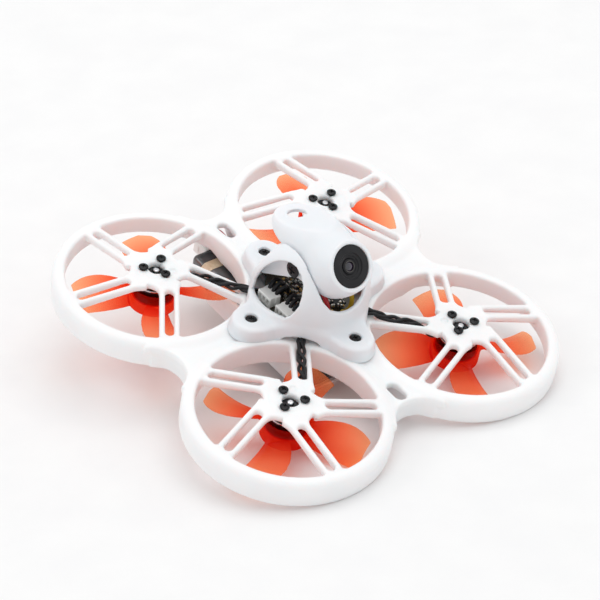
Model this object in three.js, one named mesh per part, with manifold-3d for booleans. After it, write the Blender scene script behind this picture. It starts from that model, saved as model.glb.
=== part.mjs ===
// Ducted micro quadcopter with a camera under a tilting hood. Units: millimetres.
// +Z is up along the rotor axes, the nose points to -Y, and the craft's right side is -X.
// The origin is on the plane that the battery tray rests on, midway between the four rotors.
import * as THREE from 'three';
import { mergeVertices } from 'three/addons/utils/BufferGeometryUtils.js';
import { ConvexGeometry } from 'three/addons/geometries/ConvexGeometry.js';
import Module from 'manifold-3d';

const wasm = await Module();
wasm.setup();

// ---- Driving dimensions ----
const HUB_TOP = 18.0; // top face of the motor plates above the resting plane
const ROTOR_OFFSET = 26.87; // each rotor axis from the two centre planes (76 mm across the diagonal)
const GAP = 0.3; // clearance between neighbouring pieces
const DUCT_IN = 22.2; // inner radius of a duct
const DUCT_OUT = 25.4; // outer radius of a duct
const LIP_Z = -2.6; // top of a duct's rounded lip, measured like every Z below from HUB_TOP
const DUCT_BOTTOM = -9.4;
const DECK_TOP = -3.4;
const DECK_THICK = 2.0;
const PLATE_R = 6.4; // motor plate
const PLATE_THICK = 2.0;
const SCREW_CIRCLE = 3.3; // motor screws from the rotor axis
const SCREW_HOLE = 0.8; // clearance radius for every small screw
const CENTRE_HOLE = 2.1; // hole in the motor plate over the shaft's end
const SPOKES = 5;
const SPOKE_WIDTH = 4.9;
const SLOT_WIDTH = 2.3;
const SPOKE_DROP = 3.0; // how far a spoke falls from the plate to the rim
const SWIRL = THREE.MathUtils.degToRad(15); // turn of a spoke's inner end about the rotor axis
const MOUNT_RADIUS = 18.03; // stack and canopy screws from the centre
const STATOR = { base: 4.3, core: 1.9, teeth: 9, reach: 4.3, top: -2.3, bottom: -6.9 };
const BELL = { outer: 5.2, wall: 0.6, top: -3.6, bottom: -8.2, floor: 0.8 };
const SHAFT = { radius: 0.75, top: -0.5, bottom: -10.2 };
const PROP = { radius: 20, blades: 4, midPlane: -7.9, thick: 0.35 };
// The propeller's hub is a cup pressed over the bell, hollowed from below round a boss on the shaft.
const CUP = { radius: 6.2, top: -4.8, floor: -9.6, bottom: -10.9, boss: 2.4 };
const LENS_CENTRE = new THREE.Vector3(0, -11.96, 18.6);
const LENS_TILT = THREE.MathUtils.degToRad(38);
const PIVOT = new THREE.Vector3(0, -2.2, 14.0); // camera tilt axis, along X
const PIVOT_BORE = 0.8;
const BATTERY = { width: 17, length: 50, height: 7, top: -10, rear: 36 };
const TRAY = { bottom: -HUB_TOP, front: -14, rear: 26, wall: 1.2, underDucts: -10.6 };
const STRAP = { width: 6, thick: 0.7, at: [-11, 11, 23] }; // the bars across the tray, under the battery

// One entry per rotor: its name, which side it is on, its turning sense and its blades' rest angle.
const ROTORS = [
  { name: 'front_right', x: -1, y: -1, spin: 1, rest: 28 },
  { name: 'front_left', x: 1, y: -1, spin: -1, rest: -21 },
  { name: 'rear_right', x: -1, y: 1, spin: -1, rest: -22 },
  { name: 'rear_left', x: 1, y: 1, spin: 1, rest: -17 },
];

const FINISH = {
  white: { color: 0xf2f3f6, roughness: 0.5, metalness: 0 },
  prop: { color: 0xf2431b, roughness: 0.3, metalness: 0 },
  steel: { color: 0x15151a, roughness: 0.35, metalness: 0.8 },
  bell: { color: 0x1b1b20, roughness: 0.3, metalness: 0.8 },
  copper: { color: 0xa8602a, roughness: 0.4, metalness: 0.7 },
  silver: { color: 0xc8c8cc, roughness: 0.25, metalness: 1 },
  black: { color: 0x161618, roughness: 0.45, metalness: 0 },
  glass: { color: 0x0a0c12, roughness: 0.05, metalness: 0 },
  board: { color: 0x10181a, roughness: 0.5, metalness: 0 },
  cell: { color: 0x5c6266, roughness: 0.35, metalness: 0.3 },
  red: { color: 0xc01018, roughness: 0.4, metalness: 0 },
  yellow: { color: 0xd6a312, roughness: 0.4, metalness: 0 },
};

const group = new THREE.Group();
group.name = 'ducted_quadcopter';
group.position.z = HUB_TOP;

// ---- Solids: booleans go through these few helpers ----
function solid(geometry) {
  const bare = geometry.index ? geometry.toNonIndexed() : geometry.clone();
  bare.deleteAttribute('normal');
  bare.deleteAttribute('uv');
  const merged = mergeVertices(bare, 1e-5);
  const index = merged.index.array;
  const points = merged.attributes.position;
  const [a, b, c] = [new THREE.Vector3(), new THREE.Vector3(), new THREE.Vector3()];
  const kept = [];
  let volume = 0;
  for (let i = 0; i < index.length; i += 3) {
    const [ia, ib, ic] = [index[i], index[i + 1], index[i + 2]];
    if (ia === ib || ib === ic || ic === ia) continue;
    kept.push(ia, ib, ic);
    a.fromBufferAttribute(points, ia);
    b.fromBufferAttribute(points, ib);
    c.fromBufferAttribute(points, ic);
    volume += a.dot(b.cross(c));
  }
  if (volume < 0) kept.reverse();
  return new wasm.Manifold(new wasm.Mesh({
    numProp: 3,
    vertProperties: new Float32Array(points.array),
    triVerts: new Uint32Array(kept),
  }));
}

function geometryOf(manifold) {
  const mesh = manifold.getMesh();
  const geometry = new THREE.BufferGeometry();
  geometry.setAttribute('position', new THREE.BufferAttribute(new Float32Array(mesh.vertProperties), 3));
  geometry.setIndex(new THREE.BufferAttribute(new Uint32Array(mesh.triVerts), 1));
  geometry.computeVertexNormals();
  return geometry;
}

function join(pieces) {
  return pieces.reduce((sum, piece) => sum.add(piece));
}

function cut(body, tools) {
  return tools.reduce((left, tool) => left.subtract(tool), body);
}

function place(name, manifold, finish, parent = group) {
  const mesh = new THREE.Mesh(geometryOf(manifold), new THREE.MeshStandardMaterial(FINISH[finish]));
  mesh.name = name;
  parent.add(mesh);
  return mesh;
}

function box(x0, x1, y0, y1, z0, z1) {
  const geometry = new THREE.BoxGeometry(x1 - x0, y1 - y0, z1 - z0);
  geometry.translate((x0 + x1) / 2, (y0 + y1) / 2, (z0 + z1) / 2);
  return solid(geometry);
}

// An upright cylinder between two heights.
function drum(radius, z0, z1, x = 0, y = 0, sides = 16) {
  const geometry = new THREE.CylinderGeometry(radius, radius, z1 - z0, sides);
  geometry.rotateX(Math.PI / 2);
  geometry.translate(x, y, (z0 + z1) / 2);
  return solid(geometry);
}

// A solid of revolution about Z from [radius, height] pairs. Closed rings repeat their first pair.
function turned(profile, sides) {
  const geometry = new THREE.LatheGeometry(profile.map(([r, z]) => new THREE.Vector2(r, z)), sides);
  geometry.rotateX(Math.PI / 2);
  return solid(geometry);
}

// A round cord along hand-placed points.
function cord(points, radius, sides = 8, steps = 24) {
  const path = new THREE.CatmullRomCurve3(points.map((p) => new THREE.Vector3(...p)), false, 'centripetal');
  const section = new THREE.Shape();
  for (let i = 0; i < sides; i += 1) {
    const angle = (i / sides) * Math.PI * 2;
    const method = i === 0 ? 'moveTo' : 'lineTo';
    section[method](radius * Math.cos(angle), radius * Math.sin(angle));
  }
  section.closePath();
  return solid(new THREE.ExtrudeGeometry(section, { steps, bevelEnabled: false, extrudePath: path }));
}

// A skin through equal rings of points, closed at both ends.
function loft(rings) {
  const count = rings[0].length;
  const corners = rings.flat().flatMap((p) => [p.x, p.y, p.z]);
  const faces = [];
  for (let r = 0; r < rings.length - 1; r += 1) {
    for (let i = 0; i < count; i += 1) {
      const a = r * count + i;
      const b = r * count + ((i + 1) % count);
      faces.push(a, b, a + count, b, b + count, a + count);
    }
  }
  const last = (rings.length - 1) * count;
  for (let i = 1; i < count - 1; i += 1) {
    faces.push(0, i + 1, i, last, last + i, last + i + 1);
  }
  const geometry = new THREE.BufferGeometry();
  geometry.setAttribute('position', new THREE.Float32BufferAttribute(corners, 3));
  geometry.setIndex(faces);
  return solid(geometry);
}

function stadium(x0, x1, width, PathClass = THREE.Shape) {
  const r = width / 2;
  const outline = new PathClass();
  outline.absarc(x1 - r, 0, r, -Math.PI / 2, Math.PI / 2, false);
  outline.absarc(x0 + r, 0, r, Math.PI / 2, Math.PI * 1.5, false);
  outline.closePath();
  return outline;
}

// Makes one thing at each of the four stack screws: left, rear, right and front.
function fourWays(make) {
  return [0, 1, 2, 3].map((k) => {
    const angle = (k * Math.PI) / 2;
    return make(MOUNT_RADIUS * Math.cos(angle), MOUNT_RADIUS * Math.sin(angle));
  });
}

// The space that the four ducts take, as cutters for the pieces between them.
function ductClearance(radius, z0, z1) {
  return ROTORS.map((rotor) => drum(radius, z0, z1, rotor.x * ROTOR_OFFSET, rotor.y * ROTOR_OFFSET, 36));
}

// ---- Ducts: lip, wall, swirled split spokes and motor plate ----
function ductWall() {
  const section = [
    [DUCT_IN, -7.0], [DUCT_IN, -3.5], [DUCT_IN + 0.9, LIP_Z], [DUCT_OUT - 0.9, LIP_Z], [DUCT_OUT, -3.7],
    [DUCT_OUT, DUCT_BOTTOM], [DUCT_OUT - 1.5, DUCT_BOTTOM], [DUCT_IN + 0.9, -7.4], [DUCT_IN, -7.0],
  ];
  return turned(section, 32);
}

// A spoke lies along local +X before it is turned: its line passes through both swirled ends.
function spoke(angle, swirl) {
  const inner = new THREE.Vector2(8 * Math.cos(swirl), 8 * Math.sin(swirl));
  const outer = new THREE.Vector2(DUCT_IN + 0.6, 0);
  const length = outer.distanceTo(inner);
  const outline = new THREE.Shape();
  outline.moveTo(-4, -SPOKE_WIDTH / 2);
  outline.lineTo(length, -SPOKE_WIDTH / 2);
  outline.lineTo(length, SPOKE_WIDTH / 2);
  outline.lineTo(-4, SPOKE_WIDTH / 2);
  outline.closePath();
  outline.holes.push(stadium(0.2, length - 1.6, SLOT_WIDTH, THREE.Path));
  const geometry = new THREE.ExtrudeGeometry(outline, { depth: 1.9, bevelEnabled: false, curveSegments: 2 });
  geometry.translate(0, 0, -1.95);
  const slope = new THREE.Matrix4().set(1, 0, 0, 0, 0, 1, 0, 0, -SPOKE_DROP / length, 0, 1, 0, 0, 0, 0, 1);
  geometry.applyMatrix4(slope);
  geometry.rotateZ(Math.atan2(outer.y - inner.y, outer.x - inner.x));
  geometry.translate(inner.x, inner.y, 0);
  geometry.rotateZ(angle);
  return solid(geometry);
}

function motorScrewSpots(inward, handed) {
  return [40, 160, 280].map((degrees) => {
    const angle = inward + handed * THREE.MathUtils.degToRad(degrees);
    return [SCREW_CIRCLE * Math.cos(angle), SCREW_CIRCLE * Math.sin(angle)];
  });
}

function duct(inward, handed) {
  const pieces = [ductWall(), drum(PLATE_R, -PLATE_THICK, 0, 0, 0, 15)];
  for (let k = 0; k < SPOKES; k += 1) {
    pieces.push(spoke(inward + (k * 2 * Math.PI) / SPOKES, -handed * SWIRL));
  }
  const holes = motorScrewSpots(inward, handed).map(([x, y]) => drum(SCREW_HOLE, -6, 2, x, y, 8));
  holes.push(drum(CENTRE_HOLE, -6, 2, 0, 0, 10));
  // Spokes are trimmed flush with the plate, so that the screws and the motor base fit flat.
  holes.push(drum(PLATE_R * 2, 0, 3, 0, 0, 12));
  holes.push(drum(STATOR.base + 0.4, -6, -PLATE_THICK, 0, 0, 12));
  return cut(join(pieces), holes);
}

// ---- Motors and propellers ----
function stator(inward, handed) {
  const pieces = [
    drum(STATOR.base, STATOR.top - 0.9, STATOR.top, 0, 0, 14),
    drum(STATOR.core, STATOR.bottom, STATOR.top - 0.5, 0, 0, 9),
  ];
  const root = STATOR.core - 0.4;
  for (let k = 0; k < STATOR.teeth; k += 1) {
    const tooth = new THREE.BoxGeometry(STATOR.reach - root, 1.5, 2.6);
    tooth.translate((root + STATOR.reach) / 2, 0, -5.1);
    tooth.rotateZ((k * 2 * Math.PI) / STATOR.teeth);
    pieces.push(solid(tooth));
  }
  const holes = motorScrewSpots(inward, handed).map(([x, y]) => drum(SCREW_HOLE, -3.5, -2, x, y, 6));
  holes.push(drum(SHAFT.radius + GAP, -8, -2, 0, 0, 8));
  return cut(join(pieces), holes);
}

function bell() {
  const bore = SHAFT.radius + GAP;
  const inner = BELL.outer - BELL.wall;
  const floor = BELL.bottom + BELL.floor;
  const shell = turned([
    [bore, BELL.bottom], [BELL.outer - 0.2, BELL.bottom], [BELL.outer, BELL.bottom + 0.3],
    [BELL.outer, BELL.top], [inner, BELL.top], [inner, floor], [bore, floor], [bore, BELL.bottom],
  ], 15);
  const vents = [];
  for (let k = 0; k < 3; k += 1) {
    const angle = (k * 2 * Math.PI) / 3;
    vents.push(drum(1.1, BELL.bottom - 1, floor + 1, 3 * Math.cos(angle), 3 * Math.sin(angle), 6));
  }
  return cut(shell, vents);
}

// One blade along +X. The leading edge is the higher one, on the side the propeller turns towards, and
// the skew carries the chord that way so that the trailing edge stays straight.
function blade(spin) {
  const stations = [
    { r: 5.8, chord: 5.6, pitch: 38, skew: 0 },
    { r: 9, chord: 8.8, pitch: 34, skew: 1.0 },
    { r: 13, chord: 10.3, pitch: 29, skew: 1.5 },
    { r: 17, chord: 9.2, pitch: 24, skew: 1.1 },
    { r: PROP.radius, chord: 5.6, pitch: 21, skew: -0.2 },
  ];
  return loft(stations.map(({ r, chord, pitch, skew }) => {
    const angle = THREE.MathUtils.degToRad(pitch);
    const along = new THREE.Vector3(0, spin * Math.cos(angle), Math.sin(angle));
    const across = new THREE.Vector3(0, -spin * Math.sin(angle), Math.cos(angle));
    const corner = (u, v) => new THREE.Vector3(r, spin * skew, PROP.midPlane)
      .addScaledVector(along, u * chord)
      .addScaledVector(across, v * PROP.thick);
    return [
      corner(-0.5, -0.6), corner(0, -0.1), corner(0.5, -0.6),
      corner(0.5, 0.6), corner(0, 1.1), corner(-0.5, 0.6),
    ];
  }));
}

function propeller(spin, restAngle) {
  const bore = SHAFT.radius + GAP;
  const inner = BELL.outer + GAP;
  const floor = BELL.bottom - GAP;
  const cup = turned([
    [bore, CUP.bottom], [CUP.boss, CUP.bottom], [CUP.boss, CUP.floor], [inner, CUP.floor],
    [inner, CUP.bottom], [CUP.radius - 0.3, CUP.bottom], [CUP.radius, CUP.bottom + 0.3],
    [CUP.radius, CUP.top], [inner, CUP.top], [inner, floor], [bore, floor], [bore, CUP.bottom],
  ], 16);
  const blades = [];
  for (let k = 0; k < PROP.blades; k += 1) {
    blades.push(blade(spin).rotate([0, 0, restAngle + (k * 360) / PROP.blades]));
  }
  const boss = drum(CUP.boss, CUP.bottom - 2, CUP.top, 0, 0, 16);
  const underside = drum(inner, CUP.bottom - 1, CUP.floor, 0, 0, 16).subtract(boss);
  return cut(join([cup, ...blades]), [drum(inner, floor, CUP.top + 1, 0, 0, 16), underside]);
}

// A socket-head screw with its axis along Z.
function capScrew(headRadius, headZ0, headZ1, tipZ) {
  const head = drum(headRadius, headZ0, headZ1, 0, 0, 8);
  const shank = drum(0.5, tipZ, headZ0 + 0.1, 0, 0, 5);
  const socket = drum(headRadius * 0.45, (headZ0 + headZ1) / 2, headZ1 + 1, 0, 0, 4);
  return cut(join([head, shank]), [socket]);
}

function rotorUnit(rotor) {
  const centre = new THREE.Group();
  centre.position.set(rotor.x * ROTOR_OFFSET, rotor.y * ROTOR_OFFSET, 0);
  group.add(centre);
  const inward = Math.atan2(-rotor.y, -rotor.x);
  place(`${rotor.name}_duct`, duct(inward, rotor.spin), 'white', centre);
  motorScrewSpots(inward, rotor.spin).forEach(([x, y], k) => {
    const screw = capScrew(1.2, GAP, 0.9, STATOR.top - 0.8);
    place(`${rotor.name}_motor_screw_${k + 1}`, screw, 'steel', centre).position.set(x, y, 0);
  });
  place(`${rotor.name}_stator`, stator(inward, rotor.spin), 'copper', centre);
  place(`${rotor.name}_bell`, bell(), 'bell', centre);
  place(`${rotor.name}_shaft`, drum(SHAFT.radius, SHAFT.bottom, SHAFT.top, 0, 0, 8), 'silver', centre);
  place(`${rotor.name}_propeller`, propeller(rotor.spin, rotor.rest), 'prop', centre);
  place(`${rotor.name}_motor_leads`, motorLeads(inward, rotor.spin), 'black', centre);
}

// ---- Centre deck: the plate between the ducts, its four webs and the battery tray below ----
function deck() {
  const bottom = DECK_TOP - DECK_THICK;
  const [half, end] = [7.5, 41.5];
  const crossed = (z0, z1) => box(-half, half, -end, end, z0, z1).add(box(-end, end, -half, half, z0, z1));
  const plate = [box(-9.5, 9.5, -9.5, 9.5, bottom, DECK_TOP), crossed(bottom, DECK_TOP)];
  const fillet = 8;
  const skirtWall = 1.2;
  const reach = ROTOR_OFFSET + Math.sqrt((DUCT_OUT + fillet) ** 2 - ROTOR_OFFSET ** 2);
  const edges = [[reach, 0], [-reach, 0], [0, -reach], [0, reach]];
  const cutters = edges.map(([x, y]) => drum(fillet, DUCT_BOTTOM - 1, DECK_TOP + 1, x, y, 20));
  cutters.push(...ductClearance(DUCT_OUT + GAP, TRAY.underDucts, DECK_TOP + 1));
  // Under three of the webs' hollow outer edges a wall carries on from duct to duct. The battery leads
  // leave through the fourth.
  const skirts = edges.slice(0, 3).map(([x, y]) => {
    const ring = drum(fillet + skirtWall, DUCT_BOTTOM, bottom + 0.2, x, y, 20);
    return ring.intersect(crossed(DUCT_BOTTOM - 1, bottom + 1));
  });
  [-34.8, 33].forEach((y) => {
    const outline = stadium(-2.9, 2.9, 3.2);
    const oval = new THREE.ExtrudeGeometry(outline, { depth: 4, bevelEnabled: false, curveSegments: 5 });
    oval.rotateZ(Math.PI / 2);
    oval.translate(0, y, bottom - 1);
    cutters.push(solid(oval));
  });
  const tray = [];
  const inside = BATTERY.width / 2 + GAP;
  const outside = inside + TRAY.wall;
  [[-outside, -inside], [inside, outside]].forEach(([x0, x1]) => {
    tray.push(box(x0, x1, TRAY.front, TRAY.rear, TRAY.bottom, bottom + 0.2));
  });
  STRAP.at.forEach((y) => {
    const [x, dy] = [inside + TRAY.wall / 2, STRAP.width / 2];
    tray.push(box(-x, x, y - dy, y + dy, TRAY.bottom, TRAY.bottom + STRAP.thick));
  });
  cutters.push(...fourWays((x, y) => drum(SCREW_HOLE, bottom - 1, DECK_TOP + 1, x, y, 10)));
  // The battery lead drops through this hole.
  cutters.push(box(-3, 3, 4, 9, bottom - 1, DECK_TOP + 1));
  return cut(join([...plate, ...tray, ...skirts]), cutters);
}

// ---- Flight board, connectors and leads ----
function crossPlan(armWidth, armLength, squareHalf, z0, z1) {
  const square = new THREE.BoxGeometry(squareHalf * 2, squareHalf * 2, z1 - z0);
  square.rotateZ(Math.PI / 4);
  square.translate(0, 0, (z0 + z1) / 2);
  const half = armWidth / 2;
  return join([
    solid(square),
    box(-armLength, armLength, -half, half, z0, z1),
    box(-half, half, -armLength, armLength, z0, z1),
  ]);
}

function flightBoard() {
  const chip = box(-3.5, 3.5, -3.5, 3.5, -1.3, -0.3);
  const plan = crossPlan(6.4, 20.6, 11.2, -2.2, -1.2);
  return cut(join([plan, chip]), fourWays((x, y) => drum(0.9, -3, 0, x, y, 10)));
}

// A motor's three leads as one bundle: out from under the canopy, over the lip, along the slot of
// the inward spoke and under the motor plate. Points are [distance along the spoke, height].
function motorLeads(inward, handed) {
  const inner = new THREE.Vector2(8 * Math.cos(SWIRL), -handed * 8 * Math.sin(SWIRL));
  const along = new THREE.Vector2(DUCT_IN + 0.6, 0).sub(inner).normalize();
  const route = [
    [18.6, -1.7], [16.2, -1.6], [13.9, -1.6], [12.2, -1.9], [9, -1.9], [5.5, -1.6], [3, -1.9], [1.3, -2.6],
    [-0.5, -3.0], [-1.9, -3.0],
  ];
  const points = route.map(([a, z]) => {
    const x = inner.x + along.x * a;
    const y = inner.y + along.y * a;
    const [c, s] = [Math.cos(inward), Math.sin(inward)];
    return [x * c - y * s, x * s + y * c, z];
  });
  return cord(points, 0.7, 7, 14);
}

// The two camera leads stay behind the front wall, from the camera's underside to the board.
const RED_LEAD = [
  [-2.9, -6.6, 8.3], [-3.0, -8.9, 7.6], [-3.0, -10.2, 6.2], [-2.9, -10.6, 4.2], [-2.9, -10.3, 2.2],
  [-3.0, -9.6, 0.4], [-3.1, -8.8, -0.5],
];
const YELLOW_LEAD = [
  [3.6, -6.6, 8.3], [4.2, -8.8, 7.0], [4.5, -10.0, 5.3], [4.5, -10.3, 3.4], [4.3, -10.0, 1.6],
  [4.0, -9.2, 0.2], [3.8, -8.4, -0.5],
];

// The battery lead drops through the deck and runs back between the ducts to the plug behind the cell.
function batteryLead(side) {
  const drop = side > 0 ? 0 : 1.7;
  const route = [
    [1.6, 6.6, -2.7], [1.6, 6.9, -4.8], [1.2, 9, -6.3 - drop], [0.4, 14, -6.4 - drop], [0, 20, -6.4 - drop],
    [0, 32, -6.4 - drop], [0.7, 36.3, -7.1 - drop], [1.1, 38.4, -8.8 - drop / 2], [1.1, 39, -11.3],
  ];
  return cord(route.map(([x, y, z]) => [side * x, y, z]), 0.7, 6, 24);
}

function battery() {
  const { width, length, height, top, rear } = BATTERY;
  const outline = new THREE.Shape();
  const [r, w, h] = [1.6, width / 2, height];
  outline.absarc(w - r, h - r, r, 0, Math.PI / 2, false);
  outline.absarc(-w + r, h - r, r, Math.PI / 2, Math.PI, false);
  outline.absarc(-w + r, r, r, Math.PI, Math.PI * 1.5, false);
  outline.absarc(w - r, r, r, Math.PI * 1.5, Math.PI * 2, false);
  outline.closePath();
  const extrusion = { depth: length, bevelEnabled: false, curveSegments: 3 };
  const geometry = new THREE.ExtrudeGeometry(outline, extrusion);
  geometry.rotateX(Math.PI / 2);
  geometry.translate(0, rear, top - height);
  return solid(geometry);
}

// ---- Canopy: a dome on four lobed feet, with a sloping back, open at both sides, in front and on top ----
const DOME = [[14.6, 0], [14.4, 5], [13.5, 10], [12.0, 14.2], [9.6, 17.4], [7.2, 18.9]]; // [radius, height]
const DOME_TOP = DOME.at(-1)[1];
const SHELL = 1.1;
const FOOT_TOP = 0.8;
const FOOT_LOBE = 5.4;
const EAR = { inner: 8.0, outer: 8.7 };
const SCREW_SEAT = { radius: 1.75, floor: -0.45 };
const BACK_SLOPE = THREE.MathUtils.degToRad(28); // lean of the flat rear face from upright
const BACK_REACH = 12.0; // how far that face is from the origin

function domeSolid(inset, floor) {
  const wall = DOME.map(([r, z]) => [r - inset, z === 0 ? floor : z - (inset * z) / DOME_TOP]);
  const behind = new THREE.BoxGeometry(40, 40, 80);
  behind.translate(0, 20 + BACK_REACH - inset, 0);
  behind.rotateX(BACK_SLOPE);
  return cut(turned([[0, floor], ...wall, [0, DOME_TOP - inset]], 28), [solid(behind)]);
}

function footprint(inset, z0, z1, ductRadius) {
  const lobe = FOOT_LOBE - inset;
  const lobes = fourWays((x, y) => drum(lobe, z0, z1, x, y, 12));
  const reach = MOUNT_RADIUS;
  const arms = [box(-reach, reach, -lobe, lobe, z0, z1), box(-lobe, lobe, -reach, reach, z0, z1)];
  const core = drum(DOME[0][0] - inset, z0, z1, 0, 0, 28);
  const ducts = ductClearance(ductRadius + inset, z0 - 1, Math.min(z1, LIP_Z + GAP));
  return cut(join([...lobes, ...arms, core]), ducts);
}

function windowCutter(points, x0, x1) {
  const shape = new THREE.Shape(points.map(([y, z]) => new THREE.Vector2(y, z)));
  const geometry = new THREE.ExtrudeGeometry(shape, { depth: x1 - x0, bevelEnabled: false });
  geometry.rotateX(Math.PI / 2);
  geometry.rotateZ(Math.PI / 2);
  geometry.translate(x0, 0, 0);
  return solid(geometry);
}

const SIDE_WINDOW = [
  [8.0, 1.6], [6.9, 6.8], [4.6, 11.2], [2.0, 15.0], [-0.9, 16.9], [-3.7, 16.8], [-6.3, 14.8], [-7.9, 11.5],
  [-8.2, 8.4], [-7.6, 5.2], [-5.9, 2.9],
];
const FRONT_OPENING = [
  [-8.0, 30], [-8.0, 15.2], [-7.4, 12.2], [-6.5, 9.6], [-4.9, 7.4], [-2.6, 6.3], [2.6, 6.3], [4.9, 7.4],
  [6.5, 9.6], [7.4, 12.2], [8.0, 15.2], [8.0, 30],
];

function canopy() {
  const outer = join([footprint(0, DECK_TOP + GAP, FOOT_TOP, DUCT_OUT + GAP), domeSolid(0, -0.2)]);
  const inner = join([footprint(SHELL, DECK_TOP - 1, -0.9, DUCT_OUT + GAP), domeSolid(SHELL, -1.5)]);
  const front = new THREE.ExtrudeGeometry(
    new THREE.Shape(FRONT_OPENING.map(([x, z]) => new THREE.Vector2(x, z))),
    { depth: 40, bevelEnabled: false },
  );
  front.rotateX(Math.PI / 2);
  front.translate(0, -4, 0);
  const cutters = [
    inner,
    windowCutter(SIDE_WINDOW, -20, -EAR.outer - GAP / 2),
    windowCutter(SIDE_WINDOW, EAR.outer + GAP / 2, 20),
    solid(front),
    box(-8, 8, -6, 3, 10, 30),
    box(-14, 14, 0, 20, 16.3, 30),
    // The hood's tail comes down here when the camera tilts up.
    box(-7.9, 7.9, 0, 9, 13.4, 30),
  ];
  // Wires leave under the wall over each duct lip.
  ROTORS.forEach((rotor) => {
    const mouth = new THREE.BoxGeometry(8, 8, 2.6);
    mouth.translate(14, 0, -1.9);
    mouth.rotateZ(Math.atan2(rotor.y, rotor.x));
    cutters.push(solid(mouth));
  });
  cutters.push(...fourWays((x, y) => drum(SCREW_HOLE, -3, 2, x, y, 8)));
  cutters.push(...fourWays((x, y) => drum(SCREW_SEAT.radius, SCREW_SEAT.floor, 2, x, y, 10)));
  const ears = [-1, 1].map((side) => {
    const points = [[7.8, 6.6], [4.2, 16.2], [1.8, 17.2], [-3.6, 17.2], [-6.6, 15.4], [-6.4, 13.3]];
    const [x0, x1] = side < 0 ? [-EAR.outer, -EAR.inner] : [EAR.inner, EAR.outer];
    return windowCutter(points, x0, x1);
  });
  return cut(join([cut(outer, cutters), ...ears]), [pivotBore()]);
}

// ---- Camera: body, lens and hood turn together about the pivot ----
function pivotBore() {
  const geometry = new THREE.CylinderGeometry(PIVOT_BORE, PIVOT_BORE, 24, 10);
  geometry.rotateZ(Math.PI / 2);
  geometry.translate(PIVOT.x, PIVOT.y, PIVOT.z);
  return solid(geometry);
}

// Local -Y points forward out of the lens, from the lens's front rim.
function lensFrame(geometry) {
  geometry.rotateX(-LENS_TILT);
  geometry.translate(LENS_CENTRE.x, LENS_CENTRE.y, LENS_CENTRE.z);
  return solid(geometry);
}

// A turned piece on the lens axis: heights count forward from the lens's front rim.
function onLensAxis(profile, sides) {
  return lensFrame(new THREE.LatheGeometry(profile.map(([r, t]) => new THREE.Vector2(r, t)), sides)
    .rotateX(Math.PI));
}

// The hood's corner points, drawn in by inset: rings round the lens bulb, then the tail over the canopy.
function hoodCloud(inset) {
  const forward = new THREE.Vector3(0, -Math.cos(LENS_TILT), Math.sin(LENS_TILT));
  const lift = new THREE.Vector3(0, Math.sin(LENS_TILT), Math.cos(LENS_TILT));
  const cloud = [];
  const rings = [{ back: -0.2, r: 6.2 }, { back: 2.5, r: 7.0 }, { back: 6.5, r: 7.7 }, { back: 9.5, r: 7.6 }];
  rings.forEach(({ back, r }) => {
    for (let k = 0; k < 20; k += 1) {
      const angle = (k / 20) * Math.PI * 2;
      cloud.push(LENS_CENTRE.clone()
        .addScaledVector(forward, back < 0 ? inset - back : -back)
        .addScaledVector(lift, (r - inset) * Math.sin(angle))
        .add(new THREE.Vector3((r - inset) * Math.cos(angle), 0, 0)));
    }
  });
  // Behind the bulb, pairs of points at [y, z, half-width]: the crown's edge, then the lower rim.
  const crown = [[-3.5, 24.1, 5.0], [1, 22.6, 5.3], [6, 21.0, 5.3], [12.5, 18.9, 4.3]];
  const brim = [[2, 19, 7.6], [7, 16.6, 7.4], [11.5, 16.2, 6.0], [14.4, 16.6, 3.4]];
  [...crown, ...brim].forEach(([y, z, half]) => {
    [-1, 1].forEach((side) => cloud.push(new THREE.Vector3(side * (half - inset), y - inset / 2, z - inset)));
  });
  return cloud;
}

function hood() {
  const outer = solid(new ConvexGeometry(hoodCloud(0)));
  const inner = solid(new ConvexGeometry(hoodCloud(SHELL)));
  const lensHole = onLensAxis([[0, -9], [5.55, -9], [5.55, 4], [0, 4]], 24);
  const rearHole = drum(2.2, 15, 30, 0, 9.2, 16);
  // Behind the lens bulb the hood is open underneath, so that the camera and its wires pass.
  const underTail = box(-12, 12, 1, 20, 4, 16.1);
  const below = new THREE.BoxGeometry(30, 40, 30);
  below.translate(0, 26.5, -18.4);
  const behind = new THREE.BoxGeometry(30, 40, 30);
  behind.translate(0, 29.3, -15.2);
  return cut(outer, [inner, lensHole, rearHole, underTail, lensFrame(below), lensFrame(behind), pivotBore()]);
}

function cameraBody() {
  const block = new THREE.BoxGeometry(8, 7, 8);
  block.translate(0, 9.3, 0.8);
  const barrel = new THREE.CylinderGeometry(3.6, 3.6, 2.8, 20);
  barrel.translate(0, 4.9, 0);
  return cut(join([lensFrame(block), lensFrame(barrel)]), [pivotBore()]);
}

function lensBarrel() {
  return onLensAxis([
    [2.1, -3.2], [5.25, -3.2], [5.25, -0.1], [5.0, 0.1], [3.4, 0.1], [3.1, -0.5], [2.1, -0.9], [2.1, -3.2],
  ], 24);
}

function lensGlass() {
  return onLensAxis([[0, -2.6], [1.8, -2.6], [1.8, -1.2], [1.2, -0.7], [0, -0.5]], 14);
}

function tiltScrew(side) {
  const screw = join([
    drum(2.1, 0, 0.7, 0, 0, 16),
    drum(0.5, -5.0, 0.1, 0, 0, 8),
  ]);
  const socket = drum(0.8, 0.3, 2, 0, 0, 6);
  const seat = EAR.outer + GAP;
  return cut(screw, [socket]).rotate([0, side * 90, 0]).translate([side * seat, PIVOT.y, PIVOT.z]);
}

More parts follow.
